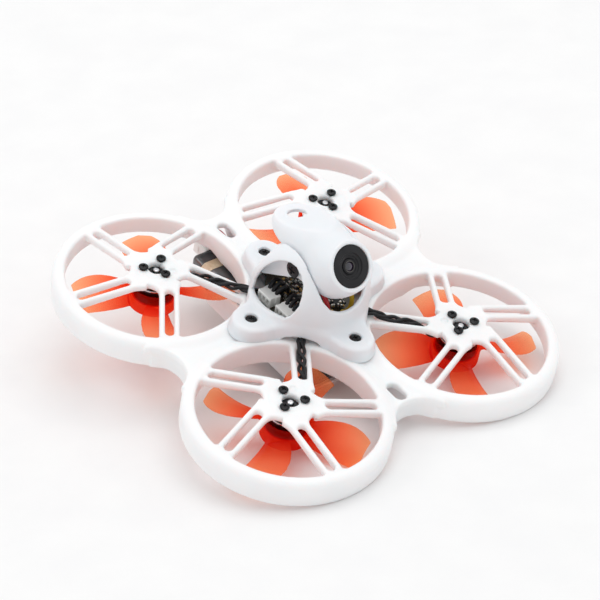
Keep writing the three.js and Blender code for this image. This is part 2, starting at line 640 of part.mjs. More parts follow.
// ---- Assembly ----
place('centre_deck', deck(), 'white');
ROTORS.forEach(rotorUnit);
place('flight_board', flightBoard(), 'board');
place('motor_plug_front', box(-11.2, -7.8, -5.2, -0.3, -0.9, 2.1), 'white');
place('motor_plug_rear', box(-11.2, -7.8, 1.6, 6.5, -0.9, 2.1), 'white');
place('battery', battery(), 'cell');
place('battery_plug', box(-2.9, 2.9, BATTERY.rear + GAP, BATTERY.rear + 5.5, -15.5, -11.7), 'white');
place('battery_lead_red', batteryLead(1), 'red');
place('battery_lead_black', batteryLead(-1), 'black');
place('canopy', canopy(), 'white');
place('camera_hood', hood(), 'white');
place('camera_body', cameraBody(), 'black');
place('lens_barrel', lensBarrel(), 'black');
place('lens_glass', lensGlass(), 'glass');
place('camera_lead_red', cord(RED_LEAD, 0.6, 6, 12), 'red');
place('camera_lead_yellow', cord(YELLOW_LEAD, 0.6, 6, 12), 'yellow');
place('tilt_screw_right', tiltScrew(-1), 'steel');
place('tilt_screw_left', tiltScrew(1), 'steel');
fourWays((x, y) => [x, y]).forEach(([x, y], k) => {
  const name = ['left', 'rear', 'right', 'front'][k];
  const screw = capScrew(1.4, SCREW_SEAT.floor + GAP, 0.3, -5.2);
  place(`canopy_screw_${name}`, screw, 'steel').position.set(x, y, 0);
});

export default group;
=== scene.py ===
"""Looks of the ducted micro quadcopter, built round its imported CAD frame.

Shapes are drawn in millimetres with Z counted from the top of the motor plates, and placed in metres.
Moulded pieces are distance fields: each field says how far a point is outside the piece, pieces are joined
and cut with soft minima, and mould() meshes the surface where the field is zero.
"""
import math

import bpy
import numpy as np
from mathutils import Matrix, Vector


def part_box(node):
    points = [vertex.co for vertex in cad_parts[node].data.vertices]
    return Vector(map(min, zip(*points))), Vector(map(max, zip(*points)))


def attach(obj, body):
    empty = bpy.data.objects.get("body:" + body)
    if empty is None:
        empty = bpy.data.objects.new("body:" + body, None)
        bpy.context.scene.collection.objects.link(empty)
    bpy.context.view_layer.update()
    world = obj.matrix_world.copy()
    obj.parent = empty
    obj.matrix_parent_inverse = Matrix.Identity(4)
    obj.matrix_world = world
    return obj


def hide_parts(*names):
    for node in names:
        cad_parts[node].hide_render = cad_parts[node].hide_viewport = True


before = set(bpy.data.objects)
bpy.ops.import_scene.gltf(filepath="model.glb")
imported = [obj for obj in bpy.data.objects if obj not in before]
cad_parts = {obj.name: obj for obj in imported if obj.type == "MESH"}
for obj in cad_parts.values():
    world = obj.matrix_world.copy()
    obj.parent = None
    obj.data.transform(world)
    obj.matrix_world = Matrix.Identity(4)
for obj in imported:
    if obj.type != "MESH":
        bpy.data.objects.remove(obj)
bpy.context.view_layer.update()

# ---- Sizes that the frame gives ----
MM = 0.001
ROTORS = ("front_right", "front_left", "rear_right", "rear_left")
SPIN = {"front_right": 1, "front_left": -1, "rear_right": -1, "rear_left": 1}
REST = {"front_right": 28, "front_left": -21, "rear_right": -22, "rear_left": -17}


def span(node):
    """A node's lowest and highest corners in millimetres, with Z counted from the motor plates' top."""
    low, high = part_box(node)
    drop = Vector((0, 0, HUB_TOP))
    return low / MM - drop, high / MM - drop


HUB_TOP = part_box("rear_left_duct")[1].z / MM
DUCT_LOW, DUCT_HIGH = span("rear_left_duct")
ROTOR = (DUCT_LOW.x + DUCT_HIGH.x) / 2
DUCT_OUT = (DUCT_HIGH.x - DUCT_LOW.x) / 2
DUCT_IN = DUCT_OUT - 3.2
DUCT_BOTTOM = DUCT_LOW.z
DECK_LOW, DECK_HIGH = span("centre_deck")
BATTERY_LOW, BATTERY_HIGH = span("battery")
HALF_ROOT = math.sqrt(0.5)
MOUNT_RADIUS = (span("canopy_screw_left")[0].x + span("canopy_screw_left")[1].x) / 2
PIVOT = Vector((0, -2.2, 14.0))
LENS_TILT = math.radians(38)
LENS_CENTRE = Vector((0, -11.96, 18.6))
TRAY = {"wall": 1.2, "front": -14.0, "rear": 26.0, "under_ducts": -10.6, "straps": (-11.0, 11.0, 23.0)}
SHELL = 1.1
TAPE_Y = 29.6


# ---- Camera, floor and light ----
def aim_camera():
    """The view: from the front right and above, rolled a little, through a long lens."""
    azimuth, elevation, roll = map(math.radians, (-45.296, 40.858, 10.524))
    distance, focal = 0.600, 147.17
    target = Vector((-0.003016, -0.000219, HUB_TOP * MM))
    back = Vector((
        math.sin(azimuth) * math.cos(elevation),
        -math.cos(azimuth) * math.cos(elevation),
        math.sin(elevation),
    ))
    right = (-back).cross(Vector((0, 0, 1))).normalized()
    up = right.cross(-back)
    turned_right = right * math.cos(roll) + up * math.sin(roll)
    turned_up = up * math.cos(roll) - right * math.sin(roll)
    data = bpy.data.cameras.new("view_camera")
    data.lens = focal
    data.sensor_width = 36.0
    data.clip_start = 0.01
    data.clip_end = 20.0
    camera = bpy.data.objects.new("view_camera", data)
    camera.matrix_world = Matrix((turned_right, turned_up, back)).transposed().to_4x4()
    camera.location = target + back * distance
    bpy.context.scene.collection.objects.link(camera)
    bpy.context.scene.camera = camera


def area_light(name, place, size, watts, colour=(1, 1, 1)):
    data = bpy.data.lights.new(name, "AREA")
    data.shape = "DISK"
    data.size = size
    data.energy = watts
    data.color = colour
    light = bpy.data.objects.new(name, data)
    light.location = place
    light.rotation_mode = "QUATERNION"
    light.rotation_quaternion = (-Vector(place)).to_track_quat("-Z", "Y")
    bpy.context.scene.collection.objects.link(light)


def make_stage():
    """A pale floor that touches the front ducts' rims and the tray's front edge."""
    front = Vector((0, DUCT_LOW.y + 2 * -ROTOR, DUCT_BOTTOM + HUB_TOP)) * MM
    rear = Vector((0, TRAY["front"], 0)) * MM
    slope = math.atan2(rear.z - front.z, rear.y - front.y)
    mesh = bpy.data.meshes.new("floor")
    half = 3.0
    corners = [(-half, -half, 0), (half, -half, 0), (half, half, 0), (-half, half, 0)]
    mesh.from_pydata(corners, [], [(0, 1, 2, 3)])
    floor = bpy.data.objects.new("floor", mesh)
    floor.rotation_euler = (slope, 0, 0)
    floor.location = front
    bpy.context.scene.collection.objects.link(floor)
    floor.data.materials.append(floor_paper())
    world = bpy.data.worlds.new("studio")
    world.use_nodes = True
    world.node_tree.nodes["Background"].inputs[0].default_value = (1.0, 1.0, 1.0, 1)
    world.node_tree.nodes["Background"].inputs[1].default_value = 0.86
    bpy.context.scene.world = world
    bpy.context.scene.view_settings.view_transform = "Standard"
    area_light("overhead_softbox", (0.15, 0.25, 0.9), 0.8, 2.3)
    area_light("rear_softbox", (-0.7, 0.6, 0.6), 0.5, 1.0)


# ---- Materials ----
def nodes_of(name):
    material = bpy.data.materials.new(name)
    material.use_nodes = True
    tree = material.node_tree
    return material, tree, tree.nodes["Principled BSDF"]


def texture_noise(tree, scale, detail=3.0, kind="ShaderNodeTexNoise"):
    """A noise on object coordinates, so its scale counts per metre."""
    place = tree.nodes.new("ShaderNodeTexCoord")
    noise = tree.nodes.new(kind)
    noise.inputs["Scale"].default_value = scale
    if "Detail" in noise.inputs:
        noise.inputs["Detail"].default_value = detail
    tree.links.new(place.outputs["Object"], noise.inputs["Vector"])
    return noise


def ramp(tree, source, low, high, start=0.35, end=0.65):
    """Maps a value to a colour between low and high."""
    node = tree.nodes.new("ShaderNodeValToRGB")
    node.color_ramp.elements[0].position = start
    node.color_ramp.elements[0].color = (*low, 1)
    node.color_ramp.elements[1].position = end
    node.color_ramp.elements[1].color = (*high, 1)
    tree.links.new(source, node.inputs["Fac"])
    return node.outputs["Color"]


def spread(tree, source, low, high):
    node = tree.nodes.new("ShaderNodeMapRange")
    node.inputs["To Min"].default_value = low
    node.inputs["To Max"].default_value = high
    tree.links.new(source, node.inputs["Value"])
    return node.outputs["Result"]


def bump(tree, shader, source, strength, distance):
    node = tree.nodes.new("ShaderNodeBump")
    node.inputs["Strength"].default_value = strength
    node.inputs["Distance"].default_value = distance
    tree.links.new(source, node.inputs["Height"])
    tree.links.new(node.outputs["Normal"], shader.inputs["Normal"])


def surface(name, low, high, rough=(0.4, 0.5), grain=2500.0, grain_depth=0.00002, blotch=60.0, metallic=0.0):
    """A plain finish with slow colour variation, uneven gloss and a fine grain."""
    material, tree, shader = nodes_of(name)
    slow = texture_noise(tree, blotch)
    fine = texture_noise(tree, grain, 2.0)
    tree.links.new(ramp(tree, slow.outputs["Fac"], low, high), shader.inputs["Base Color"])
    tree.links.new(spread(tree, fine.outputs["Fac"], *rough), shader.inputs["Roughness"])
    bump(tree, shader, fine.outputs["Fac"], 0.4, grain_depth)
    shader.inputs["Metallic"].default_value = metallic
    return material, tree, shader


def floor_paper():
    pale, paler = (0.86, 0.86, 0.863), (0.88, 0.88, 0.88)
    material, _, shader = surface("floor_paper", pale, paler, (0.7, 0.8), 800.0, 0.00002)
    shader.inputs["Specular IOR Level"].default_value = 0.2
    return material


def white_plastic(name, low, high):
    """Moulded, slightly milky plastic with a satin skin."""
    material, _, shader = surface(name, low, high, (0.36, 0.50), 3200.0, 0.000012, 45.0)
    shader.inputs["Subsurface Weight"].default_value = 0.5
    shader.inputs["Subsurface Radius"].default_value = (1.0, 0.75, 0.7)
    shader.inputs["Subsurface Scale"].default_value = 0.0028
    return material


def from_axis(tree, near, far):
    """Runs from 0 to 1 between two distances (mm) from the nearest rotor's axis."""
    place = tree.nodes.new("ShaderNodeTexCoord")
    whole = tree.nodes.new("ShaderNodeVectorMath")
    whole.operation = "ABSOLUTE"
    offset = tree.nodes.new("ShaderNodeVectorMath")
    offset.operation = "SUBTRACT"
    offset.inputs[1].default_value = (ROTOR * MM, ROTOR * MM, 0)
    flat = tree.nodes.new("ShaderNodeVectorMath")
    flat.operation = "MULTIPLY"
    flat.inputs[1].default_value = (1, 1, 0)
    length = tree.nodes.new("ShaderNodeVectorMath")
    length.operation = "LENGTH"
    share = tree.nodes.new("ShaderNodeMapRange")
    share.inputs["From Min"].default_value = near * MM
    share.inputs["From Max"].default_value = far * MM
    tree.links.new(place.outputs["Object"], whole.inputs[0])
    tree.links.new(whole.outputs[0], offset.inputs[0])
    tree.links.new(offset.outputs[0], flat.inputs[0])
    tree.links.new(flat.outputs[0], length.inputs[0])
    tree.links.new(length.outputs["Value"], share.inputs["Value"])
    return share.outputs["Result"]


def tinted_propeller():
    """Clear orange-red polycarbonate: deep red round the hub, pale orange where the blades thin out, with a
    painted glow that grows towards the tips adding to their paleness.
    """
    material, tree, shader = nodes_of("tinted_propeller")
    slow = texture_noise(tree, 160.0)
    out = from_axis(tree, 5.5, 20.0)
    body = ramp(tree, out, (0.90, 0.020, 0.006), (1.0, 0.30, 0.12), 0.1, 0.95)
    tree.links.new(body, shader.inputs["Base Color"])
    # A painted glow, a little light of their own that grows towards the tips, makes up for thin clear blades
    # that come out too dark.
    painted_tip_glow = ramp(tree, out, (0.0, 0.0, 0.0), (1.0, 0.30, 0.12), 0.1, 0.6)
    tree.links.new(painted_tip_glow, shader.inputs["Emission Color"])
    shader.inputs["Emission Strength"].default_value = 0.55
    tree.links.new(spread(tree, slow.outputs["Fac"], 0.10, 0.24), shader.inputs["Roughness"])
    bump(tree, shader, slow.outputs["Fac"], 0.35, 0.0003)
    glow = tree.nodes.new("ShaderNodeBsdfTranslucent")
    tree.links.new(ramp(tree, out, (1.0, 0.05, 0.018), (1.0, 0.42, 0.19), 0.0, 0.9), glow.inputs["Color"])
    clear = tree.nodes.new("ShaderNodeBsdfTransparent")
    tree.links.new(ramp(tree, out, (1.0, 0.22, 0.10), (1.0, 0.74, 0.56), 0.05, 1.0), clear.inputs["Color"])
    solid_part = tree.nodes.new("ShaderNodeMixShader")
    solid_part.inputs["Fac"].default_value = 0.5
    tree.links.new(shader.outputs["BSDF"], solid_part.inputs[1])
    tree.links.new(glow.outputs["BSDF"], solid_part.inputs[2])
    whole = tree.nodes.new("ShaderNodeMixShader")
    tree.links.new(spread(tree, out, 0.74, 0.80), whole.inputs["Fac"])
    tree.links.new(solid_part.outputs["Shader"], whole.inputs[1])
    tree.links.new(clear.outputs["BSDF"], whole.inputs[2])
    tree.links.new(whole.outputs["Shader"], tree.nodes["Material Output"].inputs["Surface"])
    return material


def copper_wire():
    """Enamelled wire, wound in fine turns."""
    dark, bright = (0.42, 0.16, 0.05), (0.80, 0.40, 0.16)
    material, tree, shader = surface("copper_wire", dark, bright, (0.25, 0.4), 900.0, 0, 500.0, 0.85)
    turns = texture_noise(tree, 900.0, kind="ShaderNodeTexWave")
    turns.bands_direction = "Z"
    turns.inputs["Distortion"].default_value = 1.5
    bump(tree, shader, turns.outputs["Fac"], 0.9, 0.00008)
    return material


def foil_wrap():
    """The cell's dark grey skin, with soft creases."""
    dark, grey = (0.05, 0.055, 0.06), (0.16, 0.165, 0.17)
    material, tree, shader = surface("foil_wrap", dark, grey, (0.12, 0.3), 400.0, 0.0, 90.0, 0.5)
    creases = texture_noise(tree, 110.0, 6.0)
    bump(tree, shader, creases.outputs["Fac"], 0.5, 0.0004)
    return material


def kapton_tape():
    tan, beige = (0.60, 0.46, 0.30), (0.80, 0.68, 0.50)
    material, tree, shader = surface("amber_tape", tan, beige, (0.2, 0.35), 500.0, 0.0, 200.0)
    shader.inputs["Coat Weight"].default_value = 0.4
    ridges = texture_noise(tree, 260.0, 4.0)
    bump(tree, shader, ridges.outputs["Fac"], 0.4, 0.0002)
    return material


def board_mask():
    """Solder mask with copper tracks just showing under it."""
    material, tree, shader = nodes_of("board_mask")
    tracks = texture_noise(tree, 700.0, kind="ShaderNodeTexBrick")
    tracks.inputs["Mortar Size"].default_value = 0.06
    tracks.inputs["Color1"].default_value = (0.010, 0.016, 0.018, 1)
    tracks.inputs["Color2"].default_value = (0.022, 0.030, 0.030, 1)
    tracks.inputs["Mortar"].default_value = (0.10, 0.085, 0.05, 1)
    fine = texture_noise(tree, 1400.0)
    tree.links.new(tracks.outputs["Color"], shader.inputs["Base Color"])
    tree.links.new(spread(tree, fine.outputs["Fac"], 0.25, 0.45), shader.inputs["Roughness"])
    bump(tree, shader, tracks.outputs["Fac"], 0.5, 0.00004)
    return material


def lens_coating():
    material, tree, shader = nodes_of("lens_coating")
    fine = texture_noise(tree, 600.0)
    facing = tree.nodes.new("ShaderNodeLayerWeight")
    facing.inputs["Blend"].default_value = 0.4
    tint = ramp(tree, facing.outputs["Facing"], (0.010, 0.012, 0.022), (0.10, 0.05, 0.12), 0.1, 0.9)
    tree.links.new(tint, shader.inputs["Base Color"])
    tree.links.new(spread(tree, fine.outputs["Fac"], 0.02, 0.05), shader.inputs["Roughness"])
    shader.inputs["Coat Weight"].default_value = 1.0
    shader.inputs["Coat Roughness"].default_value = 0.02
    return material


# Each plain finish: its two colours, roughness range, grain, grain depth, blotch size and metal.
FINISHES = {
    "screw": (
        "black_oxide", (0.008, 0.008, 0.009), (0.022, 0.022, 0.024),
        (0.22, 0.42), 4000.0, 0.00001, 900.0, 0.6,
    ),
    "bell": (
        "anodised_bell", (0.010, 0.010, 0.012), (0.03, 0.03, 0.034),
        (0.12, 0.26), 5000.0, 0.000005, 400.0, 0.9,
    ),
    "lamination": (
        "stator_core", (0.05, 0.048, 0.045), (0.12, 0.115, 0.11),
        (0.3, 0.5), 3000.0, 0.00002, 700.0, 0.7,
    ),
    "steel": (
        "ground_steel", (0.62, 0.62, 0.64), (0.78, 0.78, 0.80),
        (0.12, 0.25), 6000.0, 0.000004, 800.0, 1.0,
    ),
    "black": (
        "black_moulding", (0.012, 0.012, 0.014), (0.026, 0.026, 0.028),
        (0.35, 0.5), 3500.0, 0.00002, 200.0, 0.0,
    ),
    "lens_black": (
        "lens_ring_black", (0.012, 0.012, 0.014), (0.02, 0.02, 0.022),
        (0.28, 0.38), 4000.0, 0.00001, 300.0, 0.0,
    ),
    "chip": (
        "chip_epoxy", (0.012, 0.012, 0.013), (0.035, 0.035, 0.037),
        (0.3, 0.5), 3000.0, 0.00002, 900.0, 0.0,
    ),
    "solder": (
        "solder_joint", (0.55, 0.54, 0.50), (0.80, 0.78, 0.72),
        (0.15, 0.4), 2500.0, 0.00002, 1500.0, 0.9,
    ),
    "gold": (
        "gold_pad", (0.50, 0.32, 0.10), (0.78, 0.58, 0.26),
        (0.2, 0.35), 2500.0, 0.00002, 1500.0, 0.9,
    ),
    "nylon": (
        "nylon_housing", (0.88, 0.88, 0.86), (0.94, 0.94, 0.92),
        (0.35, 0.5), 2500.0, 0.00002, 200.0, 0.0,
    ),
    "black_wire": (
        "black_silicone", (0.006, 0.006, 0.007), (0.02, 0.02, 0.022),
        (0.3, 0.5), 1800.0, 0.00002, 300.0, 0.0,
    ),
    "red_wire": (
        "red_silicone", (0.42, 0.006, 0.012), (0.56, 0.014, 0.02),
        (0.3, 0.45), 1800.0, 0.00002, 300.0, 0.0,
    ),
    "yellow_wire": (
        "yellow_silicone", (0.58, 0.36, 0.015), (0.70, 0.46, 0.03),
        (0.3, 0.45), 1800.0, 0.00002, 300.0, 0.0,
    ),
}


def make_materials():
    made = {
        "frame": white_plastic("frame_plastic", (0.86, 0.865, 0.875), (0.90, 0.902, 0.906)),
        "canopy": white_plastic("canopy_plastic", (0.80, 0.815, 0.85), (0.84, 0.852, 0.88)),
        "prop": tinted_propeller(),
        "copper": copper_wire(),
        "coating": lens_coating(),
        "board": board_mask(),
        "foil": foil_wrap(),
        "tape": kapton_tape(),
    }
    for key, finish in FINISHES.items():
        made[key] = surface(*finish)[0]
    for name in ("black", "lens_black", "chip", "black_wire"):
        made[name].node_tree.nodes["Principled BSDF"].inputs["Specular IOR Level"].default_value = 0.25
    return made


# ---- Meshes ----
def mesh_from(name, points, faces):
    """A smooth-shaded mesh, in the part's metres, from points in millimetres above the motor plates."""
    place = (np.asarray(points, float) + (0, 0, HUB_TOP)) * MM
    mesh = bpy.data.meshes.new(name)
    mesh.from_pydata(place.tolist(), [], [tuple(f) for f in faces])
    mesh.validate()
    mesh.polygons.foreach_set("use_smooth", [True] * len(mesh.polygons))
    mesh.update()
    return mesh


def piece(name, mesh, material, body, replaces=()):
    mesh.materials.append(material)
    made = bpy.data.objects.new(name, mesh)
    bpy.context.scene.collection.objects.link(made)
    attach(made, body)
    if replaces:
        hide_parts(*replaces)
    return made


def turned(profile, sides=48):
    """A lathe about Z from (radius, height) pairs. A closed ring repeats its first pair."""
    closed = profile[0] == profile[-1]
    rings = profile[:-1] if closed else profile
    angles = np.arange(sides) * 2 * math.pi / sides
    points = [(r * math.cos(a), r * math.sin(a), z) for r, z in rings for a in angles]
    faces = []
    for k in range(len(rings) if closed else len(rings) - 1):
        for i in range(sides):
            a, b = k * sides + i, k * sides + (i + 1) % sides
            c, d = ((k + 1) % len(rings)) * sides + (i + 1) % sides, ((k + 1) % len(rings)) * sides + i
            faces.append((a, b, c, d))
    if not closed:
        faces.append(tuple(range(sides))[::-1])
        faces.append(tuple((len(rings) - 1) * sides + i for i in range(sides)))
    return np.array(points), faces


def softened(profile, radius, steps=3):
    """Rounds the corners of a (radius, height) outline, as edges are broken on a turned part."""
    closed = profile[0] == profile[-1]
    corners = [Vector(p) for p in (profile[:-1] if closed else profile)]
    count = len(corners)
    out = []
    for k, corner in enumerate(corners):
        if not closed and k in (0, count - 1):
            out.append(tuple(corner))
            continue
        before, after = corners[k - 1] - corner, corners[(k + 1) % count] - corner
        reach = min(radius, before.length * 0.45, after.length * 0.45)
        start, end = corner + before.normalized() * reach, corner + after.normalized() * reach
        for i in range(steps + 1):
            t = i / steps
            out.append(tuple(start * (1 - t) ** 2 + corner * 2 * t * (1 - t) + end * t * t))
    if closed:
        out.append(out[0])
    return out


def smooth_route(points, steps):
    """Evenly spread points on a Catmull-Rom curve through the given ones."""
    p = np.array(points, float)
    p = np.vstack([2 * p[0] - p[1], p, 2 * p[-1] - p[-2]])
    out = []
    for k in range(1, len(p) - 2):
        for t in np.linspace(0, 1, 12, endpoint=False):
            out.append(0.5 * (
                2 * p[k] + (p[k + 1] - p[k - 1]) * t
                + (2 * p[k - 1] - 5 * p[k] + 4 * p[k + 1] - p[k + 2]) * t ** 2
                + (3 * p[k] - p[k - 1] - 3 * p[k + 1] + p[k + 2]) * t ** 3
            ))
    out.append(p[-2])
    out = np.array(out)
    run = np.concatenate([[0], np.cumsum(np.linalg.norm(np.diff(out, axis=0), axis=1))])
    even = np.linspace(0, run[-1], steps)
    return np.stack([np.interp(even, run, out[:, k]) for k in range(3)], 1)


def carried_frames(route):
    """The tangent and two crosswise directions at each point, carried along without twist."""
    tangents = np.gradient(route, axis=0)
    tangents /= np.linalg.norm(tangents, axis=1)[:, None]
    side = np.cross(tangents[0], (0.3, 0.2, 1.0))
    sides = []
    for tangent in tangents:
        side = side - tangent * (side @ tangent)
        side /= np.linalg.norm(side)
        sides.append(side)
    sides = np.array(sides)
    return tangents, sides, np.cross(tangents, sides)


def tube(route, radius, sides=12):
    """Points and faces of a round cord along a route."""
    _, first, second = carried_frames(route)
    angles = np.arange(sides) * 2 * math.pi / sides
    across = np.cos(angles)[None, :, None] * first[:, None] + np.sin(angles)[None, :, None] * second[:, None]
    rings = route[:, None] + radius * across
    faces = []
    for k in range(len(route) - 1):
        for i in range(sides):
            a, b = k * sides + i, k * sides + (i + 1) % sides
            faces.append((a, b, b + sides, a + sides))
    last = (len(route) - 1) * sides
    faces.append(tuple(range(sides))[::-1])
    faces.append(tuple(last + i for i in range(sides)))
    return rings.reshape(-1, 3), faces


def stranded(route, strands, strand_radius, wind, pitch):
    """Strands loosely twisted along a level route. wind is how far they swing sideways and up."""
    tangents, _, _ = carried_frames(route)
    side = np.cross(tangents, (0.0, 0.0, 1.0))
    side /= np.linalg.norm(side, axis=1)[:, None]
    lift = np.cross(side, tangents)
    run = np.concatenate([[0], np.cumsum(np.linalg.norm(np.diff(route, axis=0), axis=1))])
    parts = []
    for k in range(strands):
        turn = 2 * math.pi * (run / pitch + k / strands) + 0.5 * np.sin(run * 0.9 + 2 * k)
        line = route + wind[0] * np.cos(turn)[:, None] * side + wind[1] * np.sin(turn)[:, None] * lift
        parts.append(tube(line, strand_radius))
    return merged(parts)


def merged(parts):
    points, faces, start = [], [], 0
    for more_points, more_faces in parts:
        points.append(np.asarray(more_points, float))
        faces.extend(tuple(i + start for i in f) for f in more_faces)
        start += len(more_points)
    return np.vstack(points), faces


# ---- Distance fields ----
def soft_min(a, b, k):
    h = np.clip(0.5 + 0.5 * (b - a) / k, 0, 1)
    return b + (a - b) * h - k * h * (1 - h)


def soft_max(a, b, k):
    return -soft_min(-a, -b, k)


def block(x, y, half_x, half_y, corner=0.0):
    """Plan distance to a rectangle about the origin, with rounded corners."""
    qx, qy = np.abs(x) - half_x + corner, np.abs(y) - half_y + corner
    return np.hypot(np.maximum(qx, 0), np.maximum(qy, 0)) + np.minimum(np.maximum(qx, qy), 0) - corner


def slot_shape(x, y, start, end, radius):
    """Plan distance to a round-ended slot along X."""
    return np.hypot(x - np.clip(x, start + radius, end - radius), y) - radius


def polygon(x, y, corners):
    """Plan distance to a polygon."""
    distance = np.full(x.shape, 1e9)
    sign = np.ones(x.shape)
    for k, (ax, ay) in enumerate(corners):
        bx, by = corners[k - 1]
        ex, ey = bx - ax, by - ay
        wx, wy = x - ax, y - ay
        t = np.clip((wx * ex + wy * ey) / (ex * ex + ey * ey), 0, 1)
        distance = np.minimum(distance, (wx - ex * t) ** 2 + (wy - ey * t) ** 2)
        above, below, left = y >= ay, y < by, ex * wy > ey * wx
        crossing = (above & below & left) | (~above & ~below & ~left)
        sign = np.where(crossing, -sign, sign)
    return sign * np.sqrt(distance)


def between(z, low, high):
    return np.maximum(low - z, z - high)


def mould(name, field, low, high, step, rounds=4):
    """Meshes field = 0 within a box: one point in each grid cell that it crosses, slid onto it."""
    axes = [np.arange(a - 1.5 * step, b + 2.5 * step, step) for a, b in zip(low, high)]
    slabs = []
    for start in range(0, len(axes[0]), 24):
        grid = np.meshgrid(axes[0][start:start + 24], axes[1], axes[2], indexing="ij")
        slabs.append(field(*grid) < 0)
    inside = np.concatenate(slabs)
    counts = np.zeros([n - 1 for n in inside.shape], np.int8)
    for i, j, k in np.ndindex(2, 2, 2):
        counts += inside[i:inside.shape[0] - 1 + i, j:inside.shape[1] - 1 + j, k:inside.shape[2] - 1 + k]
    crossed = (counts > 0) & (counts < 8)
    index = np.full(crossed.shape, -1)
    cells = np.argwhere(crossed)
    index[crossed] = np.arange(len(cells))
    points = np.stack([axes[k][cells[:, k]] + step / 2 for k in range(3)])
    faces = []
    for axis in range(3):
        u, v = (axis + 1) % 3, (axis + 2) % 3
        count = inside.shape[axis]
        start_in = np.take(inside, range(count - 1), axis)
        changed = np.argwhere(start_in != np.take(inside, range(1, count), axis))
        ring = []
        for du, dv in ((0, 0), (1, 0), (1, 1), (0, 1)):
            shifted = changed.copy()
            shifted[:, u] -= du
            shifted[:, v] -= dv
            ring.append(index[tuple(shifted.T)])
        ring = np.stack(ring, 1)
        inward = ~start_in[tuple(changed.T)]
        ring[inward] = ring[inward][:, ::-1]
        faces.append(ring)
    faces = np.concatenate(faces)
    edges = np.concatenate([faces[:, [0, 1]], faces[:, [1, 2]], faces[:, [2, 3]], faces[:, [3, 0]]])
    degree = np.bincount(edges[:, 0], minlength=points.shape[1])
    for _ in range(rounds):
        total = np.stack([
            np.bincount(edges[:, 0], points[k][edges[:, 1]], points.shape[1]) for k in range(3)
        ])
        points = 0.5 * points + 0.5 * total / np.maximum(degree, 1)
        points = slid_onto(field, points, step)
    return mesh_fast(name, points.T, faces)


def slid_onto(field, points, step, tiny=0.01):
    """One Newton step towards the field's zero, held to half a grid step."""
    here = field(*points)
    slope = np.stack([
        (field(*(points + shift)) - field(*(points - shift))) / (2 * tiny)
        for shift in (np.eye(3) * tiny)[:, :, None]
    ])
    size = np.maximum((slope ** 2).sum(0), 0.05)
    move = np.clip(here / size, -0.5 * step, 0.5 * step)
    return points - slope * move


def mesh_fast(name, points, quads):
    mesh = bpy.data.meshes.new(name)
    place = ((points + (0, 0, HUB_TOP)) * MM).astype(np.float32)
    mesh.vertices.add(len(place))
    mesh.vertices.foreach_set("co", place.ravel())
    mesh.loops.add(quads.size)
    mesh.loops.foreach_set("vertex_index", quads.astype(np.int32).ravel())
    mesh.polygons.add(len(quads))
    mesh.polygons.foreach_set("loop_start", np.arange(0, quads.size, 4, dtype=np.int32))
    mesh.update(calc_edges=True)
    mesh.validate()
    mesh.polygons.foreach_set("use_smooth", [True] * len(mesh.polygons))
    return mesh


# ---- Moulded frame: four ducts, deck and tray in one piece ----
SPOKES = 5
SPOKE_HALF = 2.45
SLOT_HALF = 1.15
SPOKE_DROP = 3.0
SPOKE_DEEP = 1.9
PLATE_R = 6.4
SWIRL = math.radians(15)
LIP_Z = -2.6
SCREW_CIRCLE = 3.3
SCREW_ANGLES = (40, 160, 280)
DECK_TOP = DECK_HIGH.z


def duct_wall(radius, z, turn):
    """A ring with a broad shoulder outside, a tight one inside and a channel underneath, whose inner wall
    reaches lower on the inboard side."""
    middle, thick = (DUCT_IN + DUCT_OUT) / 2, DUCT_OUT - DUCT_IN
    body = soft_max(radius - DUCT_OUT, z - LIP_Z, 2.4)
    body = soft_max(soft_max(body, DUCT_IN - radius, 0.8), DUCT_BOTTOM - z, 0.5)
    half = (LIP_Z - DUCT_BOTTOM) / 2
    groove = block(radius - middle - 0.05, z - (DUCT_BOTTOM - 1.4), thick / 2 - 0.95, half, 0.5)
    inboard = np.clip((math.radians(58) - np.abs(turn)) / math.radians(9), 0, 1)
    inner_end = -7.5 - 1.6 * inboard
    short = np.maximum(radius - middle, z - inner_end)
    return soft_max(soft_max(body, -groove, 0.4), -np.maximum(short, -(radius - DUCT_IN + 1)), 0.4)


def spoke_pair(radius, turn, z):
    """Split spokes and the motor plate. Every spoke is the first one, turned."""
    sector = 2 * math.pi / SPOKES
    offset = math.radians(44)
    folded = np.mod(turn + offset, sector) - offset
    x, y = radius * np.cos(folded), radius * np.sin(folded)
    inner = (8 * math.cos(SWIRL), -8 * math.sin(SWIRL))
    outer = (DUCT_IN + 0.6, 0.0)
    length = math.hypot(outer[0] - inner[0], outer[1] - inner[1])
    cx, cy = (outer[0] - inner[0]) / length, (outer[1] - inner[1]) / length
    along = (x - inner[0]) * cx + (y - inner[1]) * cy
    across = -(x - inner[0]) * cy + (y - inner[1]) * cx
    arm = block(along - (length - 4) / 2, across, (length + 4) / 2, SPOKE_HALF, 0.2)
    opening = slot_shape(along, across, 0.3, length - 1.5, SLOT_HALF)
    plan = soft_max(soft_min(radius - PLATE_R, arm, 3.0), -opening, 0.4)
    top = -SPOKE_DROP * np.clip(along / length, 0, 1)
    deep = SPOKE_DEEP + 0.5 * np.clip(along / length, 0, 1)
    return soft_max(plan, np.abs(z - top + deep / 2) - deep / 2, 0.7)


